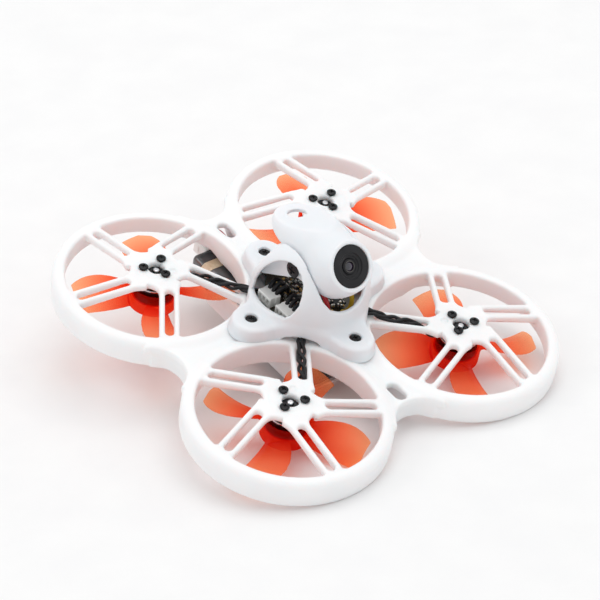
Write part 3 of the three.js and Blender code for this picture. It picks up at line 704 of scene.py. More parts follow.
def deck_plate(ax, ay, y, z):
    """The plate between the ducts, with its four webs. ax and ay are distances from the centre planes."""
    fillet = 8.0
    reach = ROTOR + math.sqrt((DUCT_OUT + fillet) ** 2 - ROTOR ** 2)
    arms = np.minimum(block(ax, ay, 7.5, reach), block(ax, ay, reach, 7.5))
    plan = np.minimum(block(ax, ay, 9.5, 9.5), arms)
    past_y, past_x = np.hypot(ax, ay - reach), np.hypot(ax - reach, ay)
    plan = np.maximum(plan, fillet - np.minimum(past_y, past_x))
    for centre in (-34.8, 33.0):
        plan = soft_max(plan, -slot_shape(y - centre, ax, -2.9, 2.9, 1.6), 0.5)
    screw = np.minimum(np.hypot(ax - MOUNT_RADIUS, ay), np.hypot(ax, ay - MOUNT_RADIUS)) - 0.8
    plan = np.maximum(plan, -screw)
    plan = np.maximum(plan, -block(ax, y - 6.5, 3, 2.5, 0.6))
    plate = soft_max(plan, np.abs(z - DECK_TOP + 1.0) - 1.0, 0.6)
    # Under the front and side webs' hollow edges a wall carries on from duct to duct.
    edge = np.where(y < 0, np.minimum(past_y, past_x), past_x)
    skirt = np.maximum(np.abs(edge - fillet - 0.6) - 0.6, np.maximum(ax, ay) - 42.0)
    skirt = soft_max(skirt, between(z, DUCT_BOTTOM, DECK_TOP - 1.0), 0.4)
    return soft_min(plate, skirt, 0.4)


def tray(ax, y, z, radius):
    """Two walls under the deck, cut low where they pass under the ducts, and the bars under the cell."""
    inside = BATTERY_HIGH.x + 0.3
    floor_z = DECK_LOW.z
    tall = (DECK_TOP - 1.8 - floor_z) / 2
    middle, half = (TRAY["front"] + TRAY["rear"]) / 2, (TRAY["rear"] - TRAY["front"]) / 2
    side = np.abs(ax - inside - TRAY["wall"] / 2) - TRAY["wall"] / 2
    wall = soft_max(block(y - middle, z - floor_z - tall, half, tall, 1.2), side, 0.4)
    wall = soft_max(wall, -np.maximum(radius - DUCT_OUT - 0.3, TRAY["under_ducts"] - z), 0.4)
    for at in TRAY["straps"]:
        bar = block(y - at, ax, 3.0, inside + TRAY["wall"] / 2, 0.2)
        wall = soft_min(wall, soft_max(bar, np.abs(z - floor_z - 0.35) - 0.35, 0.3), 0.5)
    return wall


def frame_field(x, y, z):
    ax, ay = np.abs(x), np.abs(y)
    dx, dy = ax - ROTOR, ay - ROTOR
    inward, across = -(dx + dy) * HALF_ROOT, (dx - dy) * HALF_ROOT
    radius, turn = np.hypot(inward, across), np.arctan2(across, inward)
    spokes = spoke_pair(radius, turn, z)
    hub_ring = soft_max(radius - 5.0, np.abs(z) - 0.12, 0.1)
    spokes = soft_min(spokes, hub_ring, 0.15)
    wall = duct_wall(radius, z, turn)
    shape = soft_min(wall, soft_max(spokes, radius - DUCT_IN - 1.0, 0.3), 0.9)
    shape = soft_min(shape, np.maximum(deck_plate(ax, ay, y, z), DUCT_IN + 0.8 - radius), 1.0)
    shape = np.minimum(shape, tray(ax, y, z, radius))
    for degrees in SCREW_ANGLES:
        angle = math.radians(degrees)
        sx, sy = SCREW_CIRCLE * math.cos(angle), SCREW_CIRCLE * math.sin(angle)
        shape = np.maximum(shape, 0.8 - np.hypot(inward - sx, across - sy) + 3 * (z < -6))
    shape = soft_max(shape, 2.1 - radius, 0.5)
    dimple = np.maximum(np.hypot(inward - 4.1, across) - 0.9, -z - 0.3)
    return soft_max(shape, -dimple, 0.15)


# ---- Canopy ----
SIDE_WINDOW = (
    (8.0, 1.4), (7.4, 4.6), (6.4, 7.4), (4.8, 10.8), (2.7, 13.7), (1.3, 15.0), (-0.1, 15.8), (-2.0, 16.3),
    (-3.7, 16.1), (-5.7, 14.9), (-7.2, 13.0), (-8.0, 10.4), (-8.2, 7.8), (-7.6, 5.6),
    (-6.9, 4.2), (-5.9, 3.0),
)
FRONT_OPENING = (
    (-8.0, 30), (-8.0, 15.0), (-7.4, 12.2), (-6.6, 9.6), (-4.9, 7.3), (-2.6, 6.3), (0, 6.0),
    (2.6, 6.3), (4.9, 7.3), (6.6, 9.6), (7.4, 12.2), (8.0, 15.0), (8.0, 30),
)
DOME_R = 14.6
DOME_HIGH = 21.5
CANOPY_BOTTOM = span("canopy")[0].z
FOOT_TOP = 0.8
BACK_SLOPE = math.radians(28)
BACK_REACH = 12.0
EAR = ((9.3, 4.0), (4.4, 16.0), (1.8, 17.3), (-3.6, 17.2), (-6.6, 15.3), (-6.4, 12.6), (-3.7, 12.2))
EAR_IN, EAR_OUT = 8.0, 8.7


def dome(radius, z):
    """Distance to the canopy's dome, whose radius falls with height as a soft-shouldered curve."""
    up = np.maximum(z, 0) / DOME_HIGH
    value = np.sqrt(radius ** 2 + DOME_R ** 2 * up ** 2.65 + 1e-6)
    rise = DOME_R ** 2 * 2.65 * up ** 1.65 / DOME_HIGH / 2
    slope = np.sqrt(radius ** 2 + rise ** 2) / value
    return (value - DOME_R) / np.maximum(slope, 0.3)


def skirt(ax, ay, radius, z):
    """Four lobed feet joined by hollow sides, spreading a little towards the bottom."""
    lobe = np.minimum(np.hypot(ax - MOUNT_RADIUS, ay), np.hypot(ax, ay - MOUNT_RADIUS)) - 4.7
    arm = np.minimum(block(ax, ay, MOUNT_RADIUS, 4.4), block(ax, ay, 4.4, MOUNT_RADIUS))
    plan = soft_min(soft_min(lobe, arm, 1.0), radius - 13.6, 7.0)
    flare = 0.2 * (FOOT_TOP - z)
    return soft_max(plan - flare, z - FOOT_TOP, 1.0)


def canopy_outer(x, y, z):
    """The dome, cut off at the back by a leaning flat face, on its feet."""
    radius = np.hypot(x, y)
    back = y * math.cos(BACK_SLOPE) + z * math.sin(BACK_SLOPE) - BACK_REACH
    upper = soft_max(dome(radius, z), back, 2.0)
    return soft_min(skirt(np.abs(x), np.abs(y), radius, z), upper, 2.2)


def canopy_field(x, y, z):
    outer = canopy_outer(x, y, z)
    shell = soft_max(outer, -(outer + SHELL), 0.3)
    ax, ay = np.abs(x), np.abs(y)
    # Bosses round the four screws reach down to the deck.
    from_screw = np.minimum(np.hypot(ax - MOUNT_RADIUS, ay), np.hypot(ax, ay - MOUNT_RADIUS))
    shell = soft_min(shell, np.maximum(np.maximum(from_screw - 2.4, outer), z + 0.1), 0.5)
    shell = soft_max(shell, CANOPY_BOTTOM - z, 0.3)
    window = soft_max(polygon(y, z, SIDE_WINDOW), EAR_OUT + 0.15 - ax, 0.2)
    front = np.maximum(polygon(x, z, FRONT_OPENING), y + 6.0)
    top = soft_max(block(x, z - 25.0, 8.0, 15.0, 1.0), np.maximum(-6.5 - y, y - 3.0), 0.5)
    tail_room = np.maximum(block(x, z - 23.4, 7.9, 10.0, 1.0), np.maximum(-y, y - 9.0))
    for opening in (window, front, top, tail_room):
        shell = soft_max(shell, -opening, 0.55)
    # A low mouth over each duct lets the motor's leads out.
    along, across = (ax + ay) * HALF_ROOT, (ax - ay) * HALF_ROOT
    mouth = np.maximum((np.hypot(across / 4.9, (z + 2.9) / 1.9) - 1) * 1.9, 9.0 - along)
    shell = soft_max(shell, -mouth, 0.3)
    recess = np.maximum(from_screw - 1.52 - 0.15 * np.clip((z - 0.1) / 0.7, 0, 1), -0.45 - z)
    shell = soft_max(np.maximum(shell, 0.8 - from_screw), -recess, 0.25)
    middle, half = (EAR_IN + EAR_OUT) / 2, (EAR_OUT - EAR_IN) / 2
    ears = soft_max(polygon(y, z, EAR), np.abs(ax - middle) - half, 0.2)
    ears = soft_max(ears, -(np.hypot(y - PIVOT.y, z - PIVOT.z) - 0.8), 0.2)
    return soft_min(shell, ears, 0.3)


# ---- Hood ----
def lens_space(x, y, z):
    """Distance back from the lens rim along its axis, height above the axis, and distance from it."""
    forward = (-math.cos(LENS_TILT), math.sin(LENS_TILT))
    back = -((y - LENS_CENTRE.y) * forward[0] + (z - LENS_CENTRE.z) * forward[1])
    lift = (y - LENS_CENTRE.y) * math.sin(LENS_TILT) + (z - LENS_CENTRE.z) * math.cos(LENS_TILT)
    return back, lift, np.hypot(x, lift)


def egg(x, y, z, rx, ry, rz):
    """Near-distance to an ellipsoid about the origin."""
    k0 = np.sqrt((x / rx) ** 2 + (y / ry) ** 2 + (z / rz) ** 2) + 1e-6
    k1 = np.sqrt((x / rx ** 2) ** 2 + (y / ry ** 2) ** 2 + (z / rz ** 2) ** 2) + 1e-6
    return k0 * (k0 - 1) / k1


def hood_outer(x, y, z):
    """A bulb round the camera and a tail behind it, with a flat facet along the top."""
    back, lift, _ = lens_space(x, y, z)
    bulb = egg(x, back - 7.0, lift, 7.75, 12.0, 7.75)
    tail = egg(x, y - 2.2, z - 16.4, 7.8, 13.0, 7.4)
    body = soft_min(bulb, tail, 2.5)
    crown = soft_min(np.full(y.shape, 24.1), 24.0 - 0.325 * (y + 4.0), 1.5)
    return soft_max(body, (z - crown) * 0.95, 0.4)


def hood_field(x, y, z):
    back, lift, off_axis = lens_space(x, y, z)
    outer = hood_outer(x, y, z)
    shell = soft_max(outer, -(outer + SHELL), 0.3)
    rim = soft_max(np.abs(off_axis - 5.75) - 0.5, np.abs(back - 0.6) - 0.9, 0.5)
    shell = soft_min(soft_max(shell, -0.3 - back, 0.5), rim, 0.5)
    shell = soft_max(shell, -np.maximum(off_axis - 5.25, back - 5.0), 0.3)
    hole = np.hypot(x, y - 9.2) - 2.3
    shell = soft_max(shell, -np.maximum(hole, 15.0 - z), 0.35)
    # The underside is open behind the bulb.
    below = soft_max(lift + 3.4, 7.2 - back, 1.0)
    behind = soft_max(lift + 0.2, 9.6 - back, 1.0)
    low = soft_max(z - 16.1, 1.0 - y, 1.2)
    for opening in (below, behind, low):
        shell = soft_max(shell, -opening, 0.5)
    return shell


# ---- Propellers ----
PROP_R = 20.0
PROP_MID = -7.9
CUP = {"radius": 6.2, "wall": 0.6, "top": -4.8, "seat": -8.4, "floor": -9.6, "bottom": -10.9, "boss": 2.4}
STATIONS = (5.0, 9.0, 13.0, 17.0, PROP_R)
CHORDS = (5.4, 8.4, 10.0, 10.0, 8.8)
PITCHES = (40, 34, 29, 24, 21)
SKEWS = (0.0, 1.0, 1.5, 1.1, -0.2)


def along_blade(values, out):
    """A smooth curve through the values at the stations."""
    return np.polyval(np.polyfit(STATIONS, values, 4), np.clip(out, STATIONS[0], PROP_R + 0.5))


def propeller_field(x, y, z):
    """A propeller that turns anticlockwise seen from above. Each blade is the one along +X, turned."""
    radius, turn = np.hypot(x, y), np.arctan2(y, x)
    folded = np.mod(turn + math.pi / 4, math.pi / 2) - math.pi / 4
    out, side = radius * np.cos(folded), radius * np.sin(folded)
    chord = along_blade(CHORDS, out)
    pitch = np.radians(along_blade(PITCHES, out))
    side = side - along_blade(SKEWS, out)
    rise = z - PROP_MID
    along = side * np.cos(pitch) + rise * np.sin(pitch)
    across = -side * np.sin(pitch) + rise * np.cos(pitch)
    share = np.clip(2 * along / chord, -1, 1)
    # Each blade is cupped, and folded along a line nearer its leading edge.
    across = across - 0.08 * chord * (1 - share ** 2) + 0.16 * chord * np.maximum(share - 0.3, 0)
    spine = np.exp(-((share - 0.3) / 0.16) ** 2)
    half = 0.16 + 0.14 * (1 - share ** 2) + 0.10 * spine + 0.15 * np.clip((9 - out) / 4, 0, 1)
    blade = soft_max(np.abs(across) - half, np.abs(along) - chord / 2, 0.2)
    blade = soft_max(soft_max(blade, out - PROP_R, 0.25), 5.7 - out, 0.2)
    tall = (CUP["top"] - CUP["bottom"]) / 2
    cup = block(radius, z - CUP["bottom"] - tall, CUP["radius"], tall, 0.3)
    inner = CUP["radius"] - CUP["wall"]
    hollow = soft_max(radius - inner, CUP["seat"] - z, 0.8)
    underside = soft_max(soft_max(radius - inner, CUP["boss"] - radius, 0.3), z - CUP["floor"], 0.6)
    shape = soft_min(cup, blade, 0.8)
    shape = soft_max(soft_max(shape, -hollow, 0.15), -underside, 0.15)
    return np.maximum(shape, 0.95 - radius)


# ---- Screws ----
def screw_field(head, low, high):
    """A domed head with a cross recess, from height low to high, and a short run of shank under it."""
    def field(x, y, z):
        radius = np.hypot(x, y)
        tall = (high - low) / 2
        cap = block(radius, z - low - tall, head, tall, min(0.35, tall * 0.8))
        crown = z - high + 0.28 * (radius / head) ** 2
        shank = np.maximum(radius - 0.55, between(z, low - 1.2, low + 0.2))
        cross = np.minimum(block(x, y, head * 0.56, head * 0.13), block(x, y, head * 0.13, head * 0.56))
        recess = np.maximum(cross, low + 0.3 * (high - low) - z)
        return soft_max(soft_min(np.maximum(cap, crown), shank, 0.05), -recess, 0.05)
    return field


# ---- Small pieces ----
def brick(x, y, z, half, corner):
    """Distance to a rounded box about the origin."""
    q = [np.abs(value) - size + corner for value, size in zip((x, y, z), half)]
    outside = np.sqrt(sum(np.maximum(side, 0) ** 2 for side in q))
    return outside + np.minimum(np.maximum(np.maximum(q[0], q[1]), q[2]), 0) - corner


def chamfered(low, high, edge):
    """Points and faces of a box whose top edges are bevelled."""
    (x0, y0, z0), (x1, y1, z1) = low, high
    rings = [
        (x0, x1, y0, y1, z0), (x0, x1, y0, y1, z1 - edge), (x0 + edge, x1 - edge, y0 + edge, y1 - edge, z1),
    ]
    points = [(x, y, z) for a, b, c, d, z in rings for x, y in ((a, c), (b, c), (b, d), (a, d))]
    faces = [(3, 2, 1, 0), (8, 9, 10, 11)]
    for k in (0, 4):
        faces += [(k + i, k + (i + 1) % 4, k + 4 + (i + 1) % 4, k + 4 + i) for i in range(4)]
    return points, faces


# ---- Assembly helpers ----
def centre_of(rotor):
    low, high = span(f"{rotor}_shaft")
    return (low + high) / 2


def copy_at(mesh, name, move, turn=0.0, mirror=False):
    """The mesh turned about Z, mirrored in Y first if asked, and moved, as a mesh of its own."""
    made = mesh.copy()
    made.name = name
    flip = Matrix.Diagonal((1, -1, 1, 1)) if mirror else Matrix.Identity(4)
    made.transform(Matrix.Translation(Vector(move) * MM) @ Matrix.Rotation(turn, 4, "Z") @ flip)
    if mirror:
        made.flip_normals()
    return made


def inward_angle(rotor):
    centre = centre_of(rotor)
    return math.atan2(-centre.y, -centre.x)


def screw_places(rotor):
    centre, inward = centre_of(rotor), inward_angle(rotor)
    for k, degrees in enumerate(SCREW_ANGLES):
        angle = inward + SPIN[rotor] * math.radians(degrees)
        yield k + 1, (centre.x + SCREW_CIRCLE * math.cos(angle), centre.y + SCREW_CIRCLE * math.sin(angle), 0)


def make_frame(paint):
    low = (-ROTOR - DUCT_OUT, -ROTOR - DUCT_OUT, DECK_LOW.z)
    high = (ROTOR + DUCT_OUT, ROTOR + DUCT_OUT, 0.2)
    step = 0.36
    mesh = mould("moulded_frame", frame_field, low, high, step)
    nodes = ["centre_deck"] + [f"{r}_duct" for r in ROTORS]
    piece("moulded_frame", mesh, paint["frame"], "airframe", nodes)


def make_canopy(paint):
    low, high = span("canopy")
    mesh = mould("canopy_shell", canopy_field, low - Vector((2, 2, 0)), high + Vector((2, 2, 3)), 0.24)
    piece("canopy_shell", mesh, paint["canopy"], "airframe", ["canopy"])


def make_hood(paint):
    low, high = span("camera_hood")
    mesh = mould("hood_shell", hood_field, low - Vector((2, 2, 4)), high + Vector((2, 2, 2)), 0.2)
    piece("hood_shell", mesh, paint["canopy"], "camera", ["camera_hood"])


def make_propellers(paint):
    mesh = mould("propeller", propeller_field, (-20.5, -20.5, -13.2), (20.5, 20.5, -3.6), 0.22)
    for rotor in ROTORS:
        mirror = SPIN[rotor] < 0
        centre = centre_of(rotor)
        place = copy_at(mesh, f"{rotor}_prop", (centre.x, centre.y, 0), math.radians(REST[rotor]), mirror)
        body, node = f"{rotor}_rotor", f"{rotor}_propeller"
        piece(f"{rotor}_prop", place, paint["prop"], body, [node])


def make_screws(paint):
    motor_head = mould("motor_screw", screw_field(1.2, 0.15, 0.95), (-1.3, -1.3, -1.2), (1.3, 1.3, 1.1), 0.09)
    for rotor in ROTORS:
        for k, place in screw_places(rotor):
            node = f"{rotor}_motor_screw_{k}"
            mesh = copy_at(motor_head, f"{node}_head", place, math.radians(20 * k))
            piece(f"{node}_head", mesh, paint["screw"], "airframe", [node])
    low_corner, high_corner = (-1.6, -1.6, -1.6), (1.6, 1.6, 0.75)
    canopy_head = mould("canopy_screw", screw_field(1.4, -0.2, 0.55), low_corner, high_corner, 0.09)
    for k, side in enumerate(("left", "rear", "right", "front")):
        node = f"canopy_screw_{side}"
        low, high = span(node)
        centre = (low + high) / 2
        mesh = copy_at(canopy_head, f"{node}_head", (centre.x, centre.y, 0), math.radians(25 * k))
        piece(f"{node}_head", mesh, paint["screw"], "airframe", [node])
    tilt_head = mould("tilt_screw", screw_field(2.1, 0.0, 0.75), (-2.2, -2.2, -1.4), (2.2, 2.2, 0.9), 0.11)
    for node, side in (("tilt_screw_left", 1), ("tilt_screw_right", -1)):
        mesh = tilt_head.copy()
        drop = Matrix.Translation((0, 0, -HUB_TOP * MM))
        lean = Matrix.Rotation(side * math.pi / 2, 4, "Y")
        seat = Vector((side * 9.0, PIVOT.y, PIVOT.z + HUB_TOP)) * MM
        mesh.transform(Matrix.Translation(seat) @ lean @ drop)
        piece(f"{node}_head", mesh, paint["screw"], "camera", [node])


def make_motors(paint):
    lathes = {
        "bell_can": ([
            (1.0, -8.2), (4.9, -8.2), (5.2, -7.9), (5.2, -6.2), (5.05, -6.1), (5.05, -5.0), (5.2, -4.9),
            (5.2, -3.95), (4.65, -3.95), (4.65, -7.4), (1.0, -7.4), (1.0, -8.2),
        ], 0.12, "bell", "black_bell", "bell", "rotor"),
        "bell_ring": ([
            (4.6, -3.9), (5.22, -3.9), (5.22, -3.55), (4.6, -3.55), (4.6, -3.9),
        ], 0.08, "steel", "steel_shaft", "", "rotor"),
        "motor_base": ([
            (1.0, -6.9), (1.6, -6.9), (1.6, -3.0), (3.6, -3.0), (3.6, -2.3), (1.0, -2.3), (1.0, -6.9),
        ], 0.12, "lamination", "black_bell", "stator", "airframe"),
        "bearing": ([
            (0.95, -2.2), (1.9, -2.2), (1.9, -1.5), (1.7, -1.3), (0.95, -1.3), (0.95, -2.2),
        ], 0.08, "lens_black", "black_plastic", "", "airframe"),
        "shaft_pin": ([
            (0.001, -10.1), (0.72, -10.1), (0.75, -0.7), (0.62, -0.5), (0.001, -0.5),
        ], 0.1, "steel", "steel_shaft", "shaft", "rotor"),
    }
    coil_mesh = make_coils()
    for rotor in ROTORS:
        centre = centre_of(rotor)
        move = np.array((centre.x, centre.y, 0))
        for part, (profile, edge, finish, slot, node, body) in lathes.items():
            points, faces = turned(softened(profile, edge), 48)
            mesh = mesh_from(f"{rotor}_{part}", points + move, faces)
            rides = f"{rotor}_rotor" if body == "rotor" else body
            piece(f"{rotor}_{part}", mesh, paint[finish], rides, [f"{rotor}_{node}"] if node else ())
        mesh = copy_at(coil_mesh, f"{rotor}_windings", move)
        piece(f"{rotor}_windings", mesh, paint["copper"], "airframe")


def make_coils():
    """Nine wound teeth: each coil is a rounded bundle round a flat iron tooth."""
    parts = []
    sides, inner, outer = 20, 1.7, 4.1
    for k in range(9):
        angle = k * 2 * math.pi / 9
        rings, faces = [], []
        for out in np.linspace(inner, outer, 8):
            swell = 1.0 + 0.12 * math.sin((out - inner) / (outer - inner) * math.pi)
            for i in range(sides):
                a = i * 2 * math.pi / sides
                across = math.copysign(abs(math.cos(a)) ** 0.6, math.cos(a)) * 0.85 * swell
                up = math.copysign(abs(math.sin(a)) ** 0.6, math.sin(a)) * 1.6 * swell
                rings.append((
                    out * math.cos(angle) - across * math.sin(angle),
                    out * math.sin(angle) + across * math.cos(angle),
                    up - 5.2,
                ))
        for r in range(7):
            for i in range(sides):
                a, b = r * sides + i, r * sides + (i + 1) % sides
                faces.append((a, b, b + sides, a + sides))
        faces.append(tuple(range(sides))[::-1])
        faces.append(tuple(7 * sides + i for i in range(sides)))
        parts.append((rings, faces))
    points, faces = merged(parts)
    return mesh_from("windings", points, faces)


def lead_route(rotor):
    """From under the canopy, over the lip, along the inward spoke's slot and under the motor plate."""
    inward, handed = inward_angle(rotor), SPIN[rotor]
    centre = centre_of(rotor)
    inner = np.array((8 * math.cos(SWIRL), -handed * 8 * math.sin(SWIRL)))
    along = np.array((DUCT_IN + 0.6, 0.0)) - inner
    along /= np.linalg.norm(along)
    route = (
        (18.6, -1.7), (16.2, -1.6), (13.9, -1.6), (12.2, -1.9), (9.0, -1.9), (5.5, -1.6), (3.0, -1.9),
        (1.3, -2.6), (-0.5, -3.0), (-1.9, -3.0),
    )
    turn = np.array(((math.cos(inward), -math.sin(inward)), (math.sin(inward), math.cos(inward))))
    points = []
    for a, z in route:
        flat = turn @ (inner + along * a)
        points.append((flat[0] + centre.x, flat[1] + centre.y, z))
    return smooth_route(points, 110)


def make_leads(paint):
    for rotor in ROTORS:
        points, faces = stranded(lead_route(rotor), 3, 0.44, (0.80, 0.34), 13.0)
        mesh = mesh_from(f"{rotor}_motor_wires", points, faces)
        node = f"{rotor}_motor_leads"
        piece(f"{rotor}_motor_wires", mesh, paint["black_wire"], "airframe", [node])
    for side, finish in ((1, "red"), (-1, "black")):
        drop = 0.0 if side > 0 else 1.7
        route = [
            (1.6, 6.6, -2.7), (1.6, 6.9, -4.8), (1.2, 9, -6.3 - drop), (0.4, 14, -6.4 - drop),
            (0, 20, -6.4 - drop), (0, 32, -6.4 - drop), (0.7, 36.3, -7.1 - drop),
            (1.1, 38.4, -8.8 - drop / 2), (1.1, 39, -11.3),
        ]
        cord(f"battery_cord_{finish}", [(side * x, y, z) for x, y, z in route], 0.7, paint[f"{finish}_wire"],
             "airframe", f"battery_lead_{finish}")
    cord("camera_cord_red", [
        (-2.9, -6.4, 7.9), (-3, -8.2, 7.2), (-3, -9.5, 5.9), (-2.9, -10.0, 4.2), (-2.9, -9.8, 2.2),
        (-3, -9.3, 0.4), (-3.1, -8.7, -0.5),
    ], 0.6, paint["red_wire"], "airframe", "camera_lead_red")
    cord("camera_cord_yellow", [
        (3.6, -6.6, 8.3), (4.2, -8.8, 7.0), (4.5, -10, 5.3), (4.5, -10.3, 3.4), (4.3, -10, 1.6),
        (4, -9.2, 0.2), (3.8, -8.4, -0.5),
    ], 0.6, paint["yellow_wire"], "airframe", "camera_lead_yellow")


def cord(name, points, radius, material, body, node=None):
    made, faces = tube(smooth_route(points, 80), radius, 16)
    piece(name, mesh_from(name, made, faces), material, body, [node] if node else ())


def make_lens(paint):
    """The lens looks along local -Y from the centre of its rim; heights count forward from the rim."""
    tilt = Matrix.Rotation(-LENS_TILT, 4, "X") @ Matrix.Rotation(math.pi / 2, 4, "X")

    def along_axis(name, profile, sides=64):
        points, faces = turned(profile, sides)
        placed = [tilt @ Vector(p) + LENS_CENTRE for p in points]
        return mesh_from(name, np.array(placed), faces)

    barrel = softened([
        (1.9, -3.2), (5.25, -3.2), (5.25, -0.1), (5.05, 0.12), (3.3, 0.12), (3.2, -0.25), (2.6, -0.32),
        (2.5, -0.6), (2.1, -0.7), (1.9, -0.9), (1.9, -3.2),
    ], 0.07)
    mesh = along_axis("lens_ring", barrel)
    piece("lens_ring", mesh, paint["lens_black"], "camera", ["lens_barrel"])
    dome_profile = [(0.001, -2.6), (1.8, -2.6), (1.8, -1.3)]
    arc = np.linspace(0.15, 1.565, 12)
    dome_profile += [(1.2 * math.cos(t) + 0.02, -1.1 + 0.55 * math.sin(t)) for t in arc]
    mesh = along_axis("lens_element", dome_profile)
    piece("lens_element", mesh, paint["coating"], "camera", ["lens_glass"])
    retainer = softened([
        (1.25, -0.9), (1.85, -0.9), (1.85, -0.62), (1.4, -0.55), (1.25, -0.6), (1.25, -0.9),
    ], 0.05)
    mesh = along_axis("lens_retainer", retainer)
    piece("lens_retainer", mesh, paint["lens_black"], "camera")
    bright = softened([(1.2, -0.58), (1.42, -0.58), (1.42, -0.47), (1.2, -0.5), (1.2, -0.58)], 0.03)
    piece("lens_trim", along_axis("lens_trim", bright), paint["lamination"], "camera")


def camera_field(x, y, z):
    """The camera's square body behind the lens, with a chamfered barrel root and two side ribs."""
    back, lift, off_axis = lens_space(x, y, z)
    shape = brick(x, back - 9.3, lift - 0.8, (4.0, 3.5, 4.0), 0.5)
    ribs = brick(np.abs(x) - 3.9, back - 9.3, lift - 0.8, (0.3, 2.6, 0.5), 0.15)
    barrel = soft_max(off_axis - 3.6, np.abs(back - 4.9) - 1.4, 0.4)
    return soft_min(soft_min(shape, ribs, 0.3), barrel, 0.5)


def make_camera(paint):
    low, high = span("camera_body")
    mesh = mould("camera_block", camera_field, low - Vector((1, 1, 1)), high + Vector((1, 1, 1)), 0.22)
    piece("camera_block", mesh, paint["black"], "camera", ["camera_body"])


def battery_field(x, y, z):
    """A soft pouch cell: flat faces, rounded long edges and a folded seam round the middle."""
    low, high = BATTERY_LOW, BATTERY_HIGH
    centre, half = (low + high) / 2, (high - low) / 2
    ax, ay, az = x - centre.x, y - centre.y, z - centre.z
    pouch = brick(ax, ay, az, (half.x - 0.1, half.y - 0.4, half.z - 0.05), 1.6)
    seam = brick(ax, ay, az + 2.2, (half.x, half.y, 0.25), 0.2)
    return soft_min(pouch, seam, 0.4)


def tape_field(x, y, z):
    """A strip of tape wound once round the cell near its rear end."""
    low, high = BATTERY_LOW, BATTERY_HIGH
    centre, half = (low + high) / 2, (high - low) / 2
    ax, az = x - centre.x, z - centre.z
    band = np.abs(brick(ax, 0 * y, az, (half.x + 0.05, 9.0, half.z + 0.05), 1.6)) - 0.09
    return soft_max(band, np.abs(y - TAPE_Y) - 1.5, 0.1)


def make_battery(paint):
    low, high = BATTERY_LOW, BATTERY_HIGH
    mesh = mould("battery_pouch", battery_field, low - Vector((1, 1, 1)), high + Vector((1, 1, 1)), 0.3)
    piece("battery_pouch", mesh, paint["foil"], "airframe", ["battery"])
    start, end = (low.x - 1, TAPE_Y - 2.6, low.z - 1), (high.x + 1, TAPE_Y + 2.4, high.z + 1)
    mesh = mould("battery_tape", tape_field, start, end, 0.12)
    piece("battery_tape", mesh, paint["tape"], "airframe")


def battery_plug_field(x, y, z):
    """A two-way socket: ribbed sides and a rounded mouth for each pin."""
    low, high = span("battery_plug")
    centre, half = (low + high) / 2, (high - low) / 2
    ax, ay, az = x - centre.x, y - centre.y, z - centre.z
    shape = brick(ax, ay, az, tuple(half), 0.35)
    mouth = brick(np.abs(ax) - half.x * 0.46, ay - half.y, az, (half.x * 0.32, 2.6, half.z * 0.55), 0.2)
    rib = brick(np.abs(ax) - half.x, ay + half.y * 0.3, az, (0.25, half.y * 0.5, half.z * 0.4), 0.1)
    return soft_max(soft_max(shape, -mouth, 0.1), -rib, 0.1)


def plug_field(low, high):
    """A small three-way plug standing on the board: open slots for the pins and a key rib on each side."""
    centre, half = (low + high) / 2, (high - low) / 2

    def field(x, y, z):
        ax, ay, az = x - centre.x, y - centre.y, z - centre.z
        shape = brick(ax, ay, az, tuple(half), 0.2)
        slots = np.full(np.shape(ax), 1e9)
        for k in (-1, 0, 1):
            size = (1.0, 0.42, half.z * 0.55)
            slots = np.minimum(slots, brick(ax + half.x, ay - k * half.y * 0.6, az, size, 0.08))
        groove = brick(ax + half.x * 0.3, np.abs(ay) - half.y, az, (half.x * 0.4, 0.2, half.z), 0.05)
        return soft_max(soft_max(shape, -slots, 0.08), -groove, 0.08)
    return field


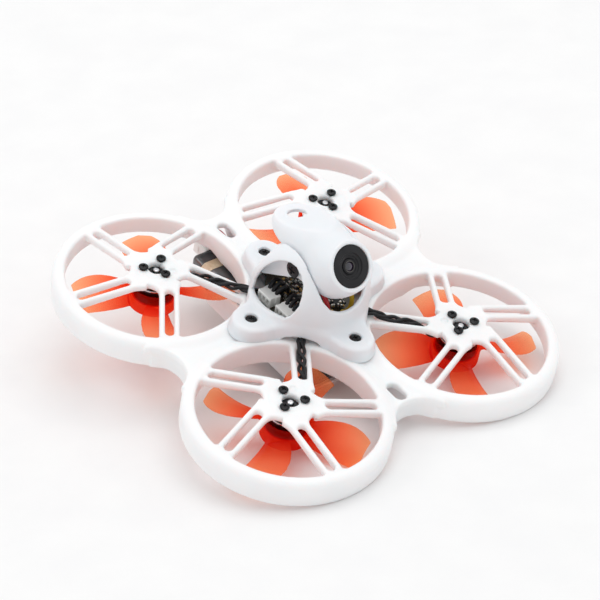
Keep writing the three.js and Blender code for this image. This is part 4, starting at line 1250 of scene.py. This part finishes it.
def make_plugs(paint):
    low, high = span("battery_plug")
    mesh = mould("battery_socket", battery_plug_field, low - Vector((1, 1, 1)), high + Vector((1, 1, 1)), 0.2)
    piece("battery_socket", mesh, paint["nylon"], "airframe", ["battery_plug"])
    for name in ("motor_plug_front", "motor_plug_rear"):
        low, high = span(name)
        edge = Vector((1, 1, 1)) * 0.6
        mesh = mould(f"{name}_housing", plug_field(low, high), low - edge, high + edge, 0.12)
        piece(f"{name}_housing", mesh, paint["nylon"], "airframe", [name])
        for k in (-1, 0, 1):
            y = (low.y + high.y) / 2 + k * 1.4
            cord(f"{name}_wire_{k + 2}", [
                (high.x - 0.8, y, high.z - 0.8), (high.x - 0.2, y, high.z + 0.9),
                (high.x + 1.2, y + 0.3 * k, high.z + 1.6), (high.x + 2.6, y - 0.4 * k, high.z + 0.8),
                (high.x + 3.4, y - 0.5 * k, 1.2), (high.x + 3.6, y - 0.5 * k, -0.6),
            ], 0.5, paint["black_wire"], "airframe")


def make_board(paint):
    """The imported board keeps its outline; chips, pads and solder stand on it in seeded places."""
    high = span("flight_board")[1]
    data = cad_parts["flight_board"].data
    data.materials.clear()
    data.materials.append(paint["board"])
    rng = np.random.default_rng(11)
    kinds = {
        "chip": (34, (0.5, 1.5), (0.4, 0.9)), "solder": (190, (0.14, 0.36), (0.5, 1.3)),
        "gold": (90, (0.14, 0.40), (0.4, 1.0)),
    }
    keep = Vector((6.6, 8.2, 0))
    for finish, (count, size, tall) in kinds.items():
        parts = []
        for _ in range(count):
            wide, deep = rng.uniform(*size, 2)
            x = rng.uniform(-keep.x + wide, keep.x - wide)
            y = rng.uniform(-keep.y + deep, keep.y - deep)
            rise = rng.uniform(*tall)
            base, peak = (x - wide, y - deep, high.z - 0.05), (x + wide, y + deep, high.z + rise)
            parts.append(chamfered(base, peak, 0.08))
        points, faces = merged(parts)
        mesh = mesh_from(f"board_{finish}", points, faces)
        mesh.polygons.foreach_set("use_smooth", [False] * len(mesh.polygons))
        piece(f"board_{finish}", mesh, paint[finish], "airframe")


aim_camera()
make_stage()
paint = make_materials()
make_frame(paint)
make_canopy(paint)
make_hood(paint)
make_propellers(paint)
make_screws(paint)
make_motors(paint)
make_leads(paint)
make_lens(paint)
make_camera(paint)
make_battery(paint)
make_plugs(paint)
make_board(paint)
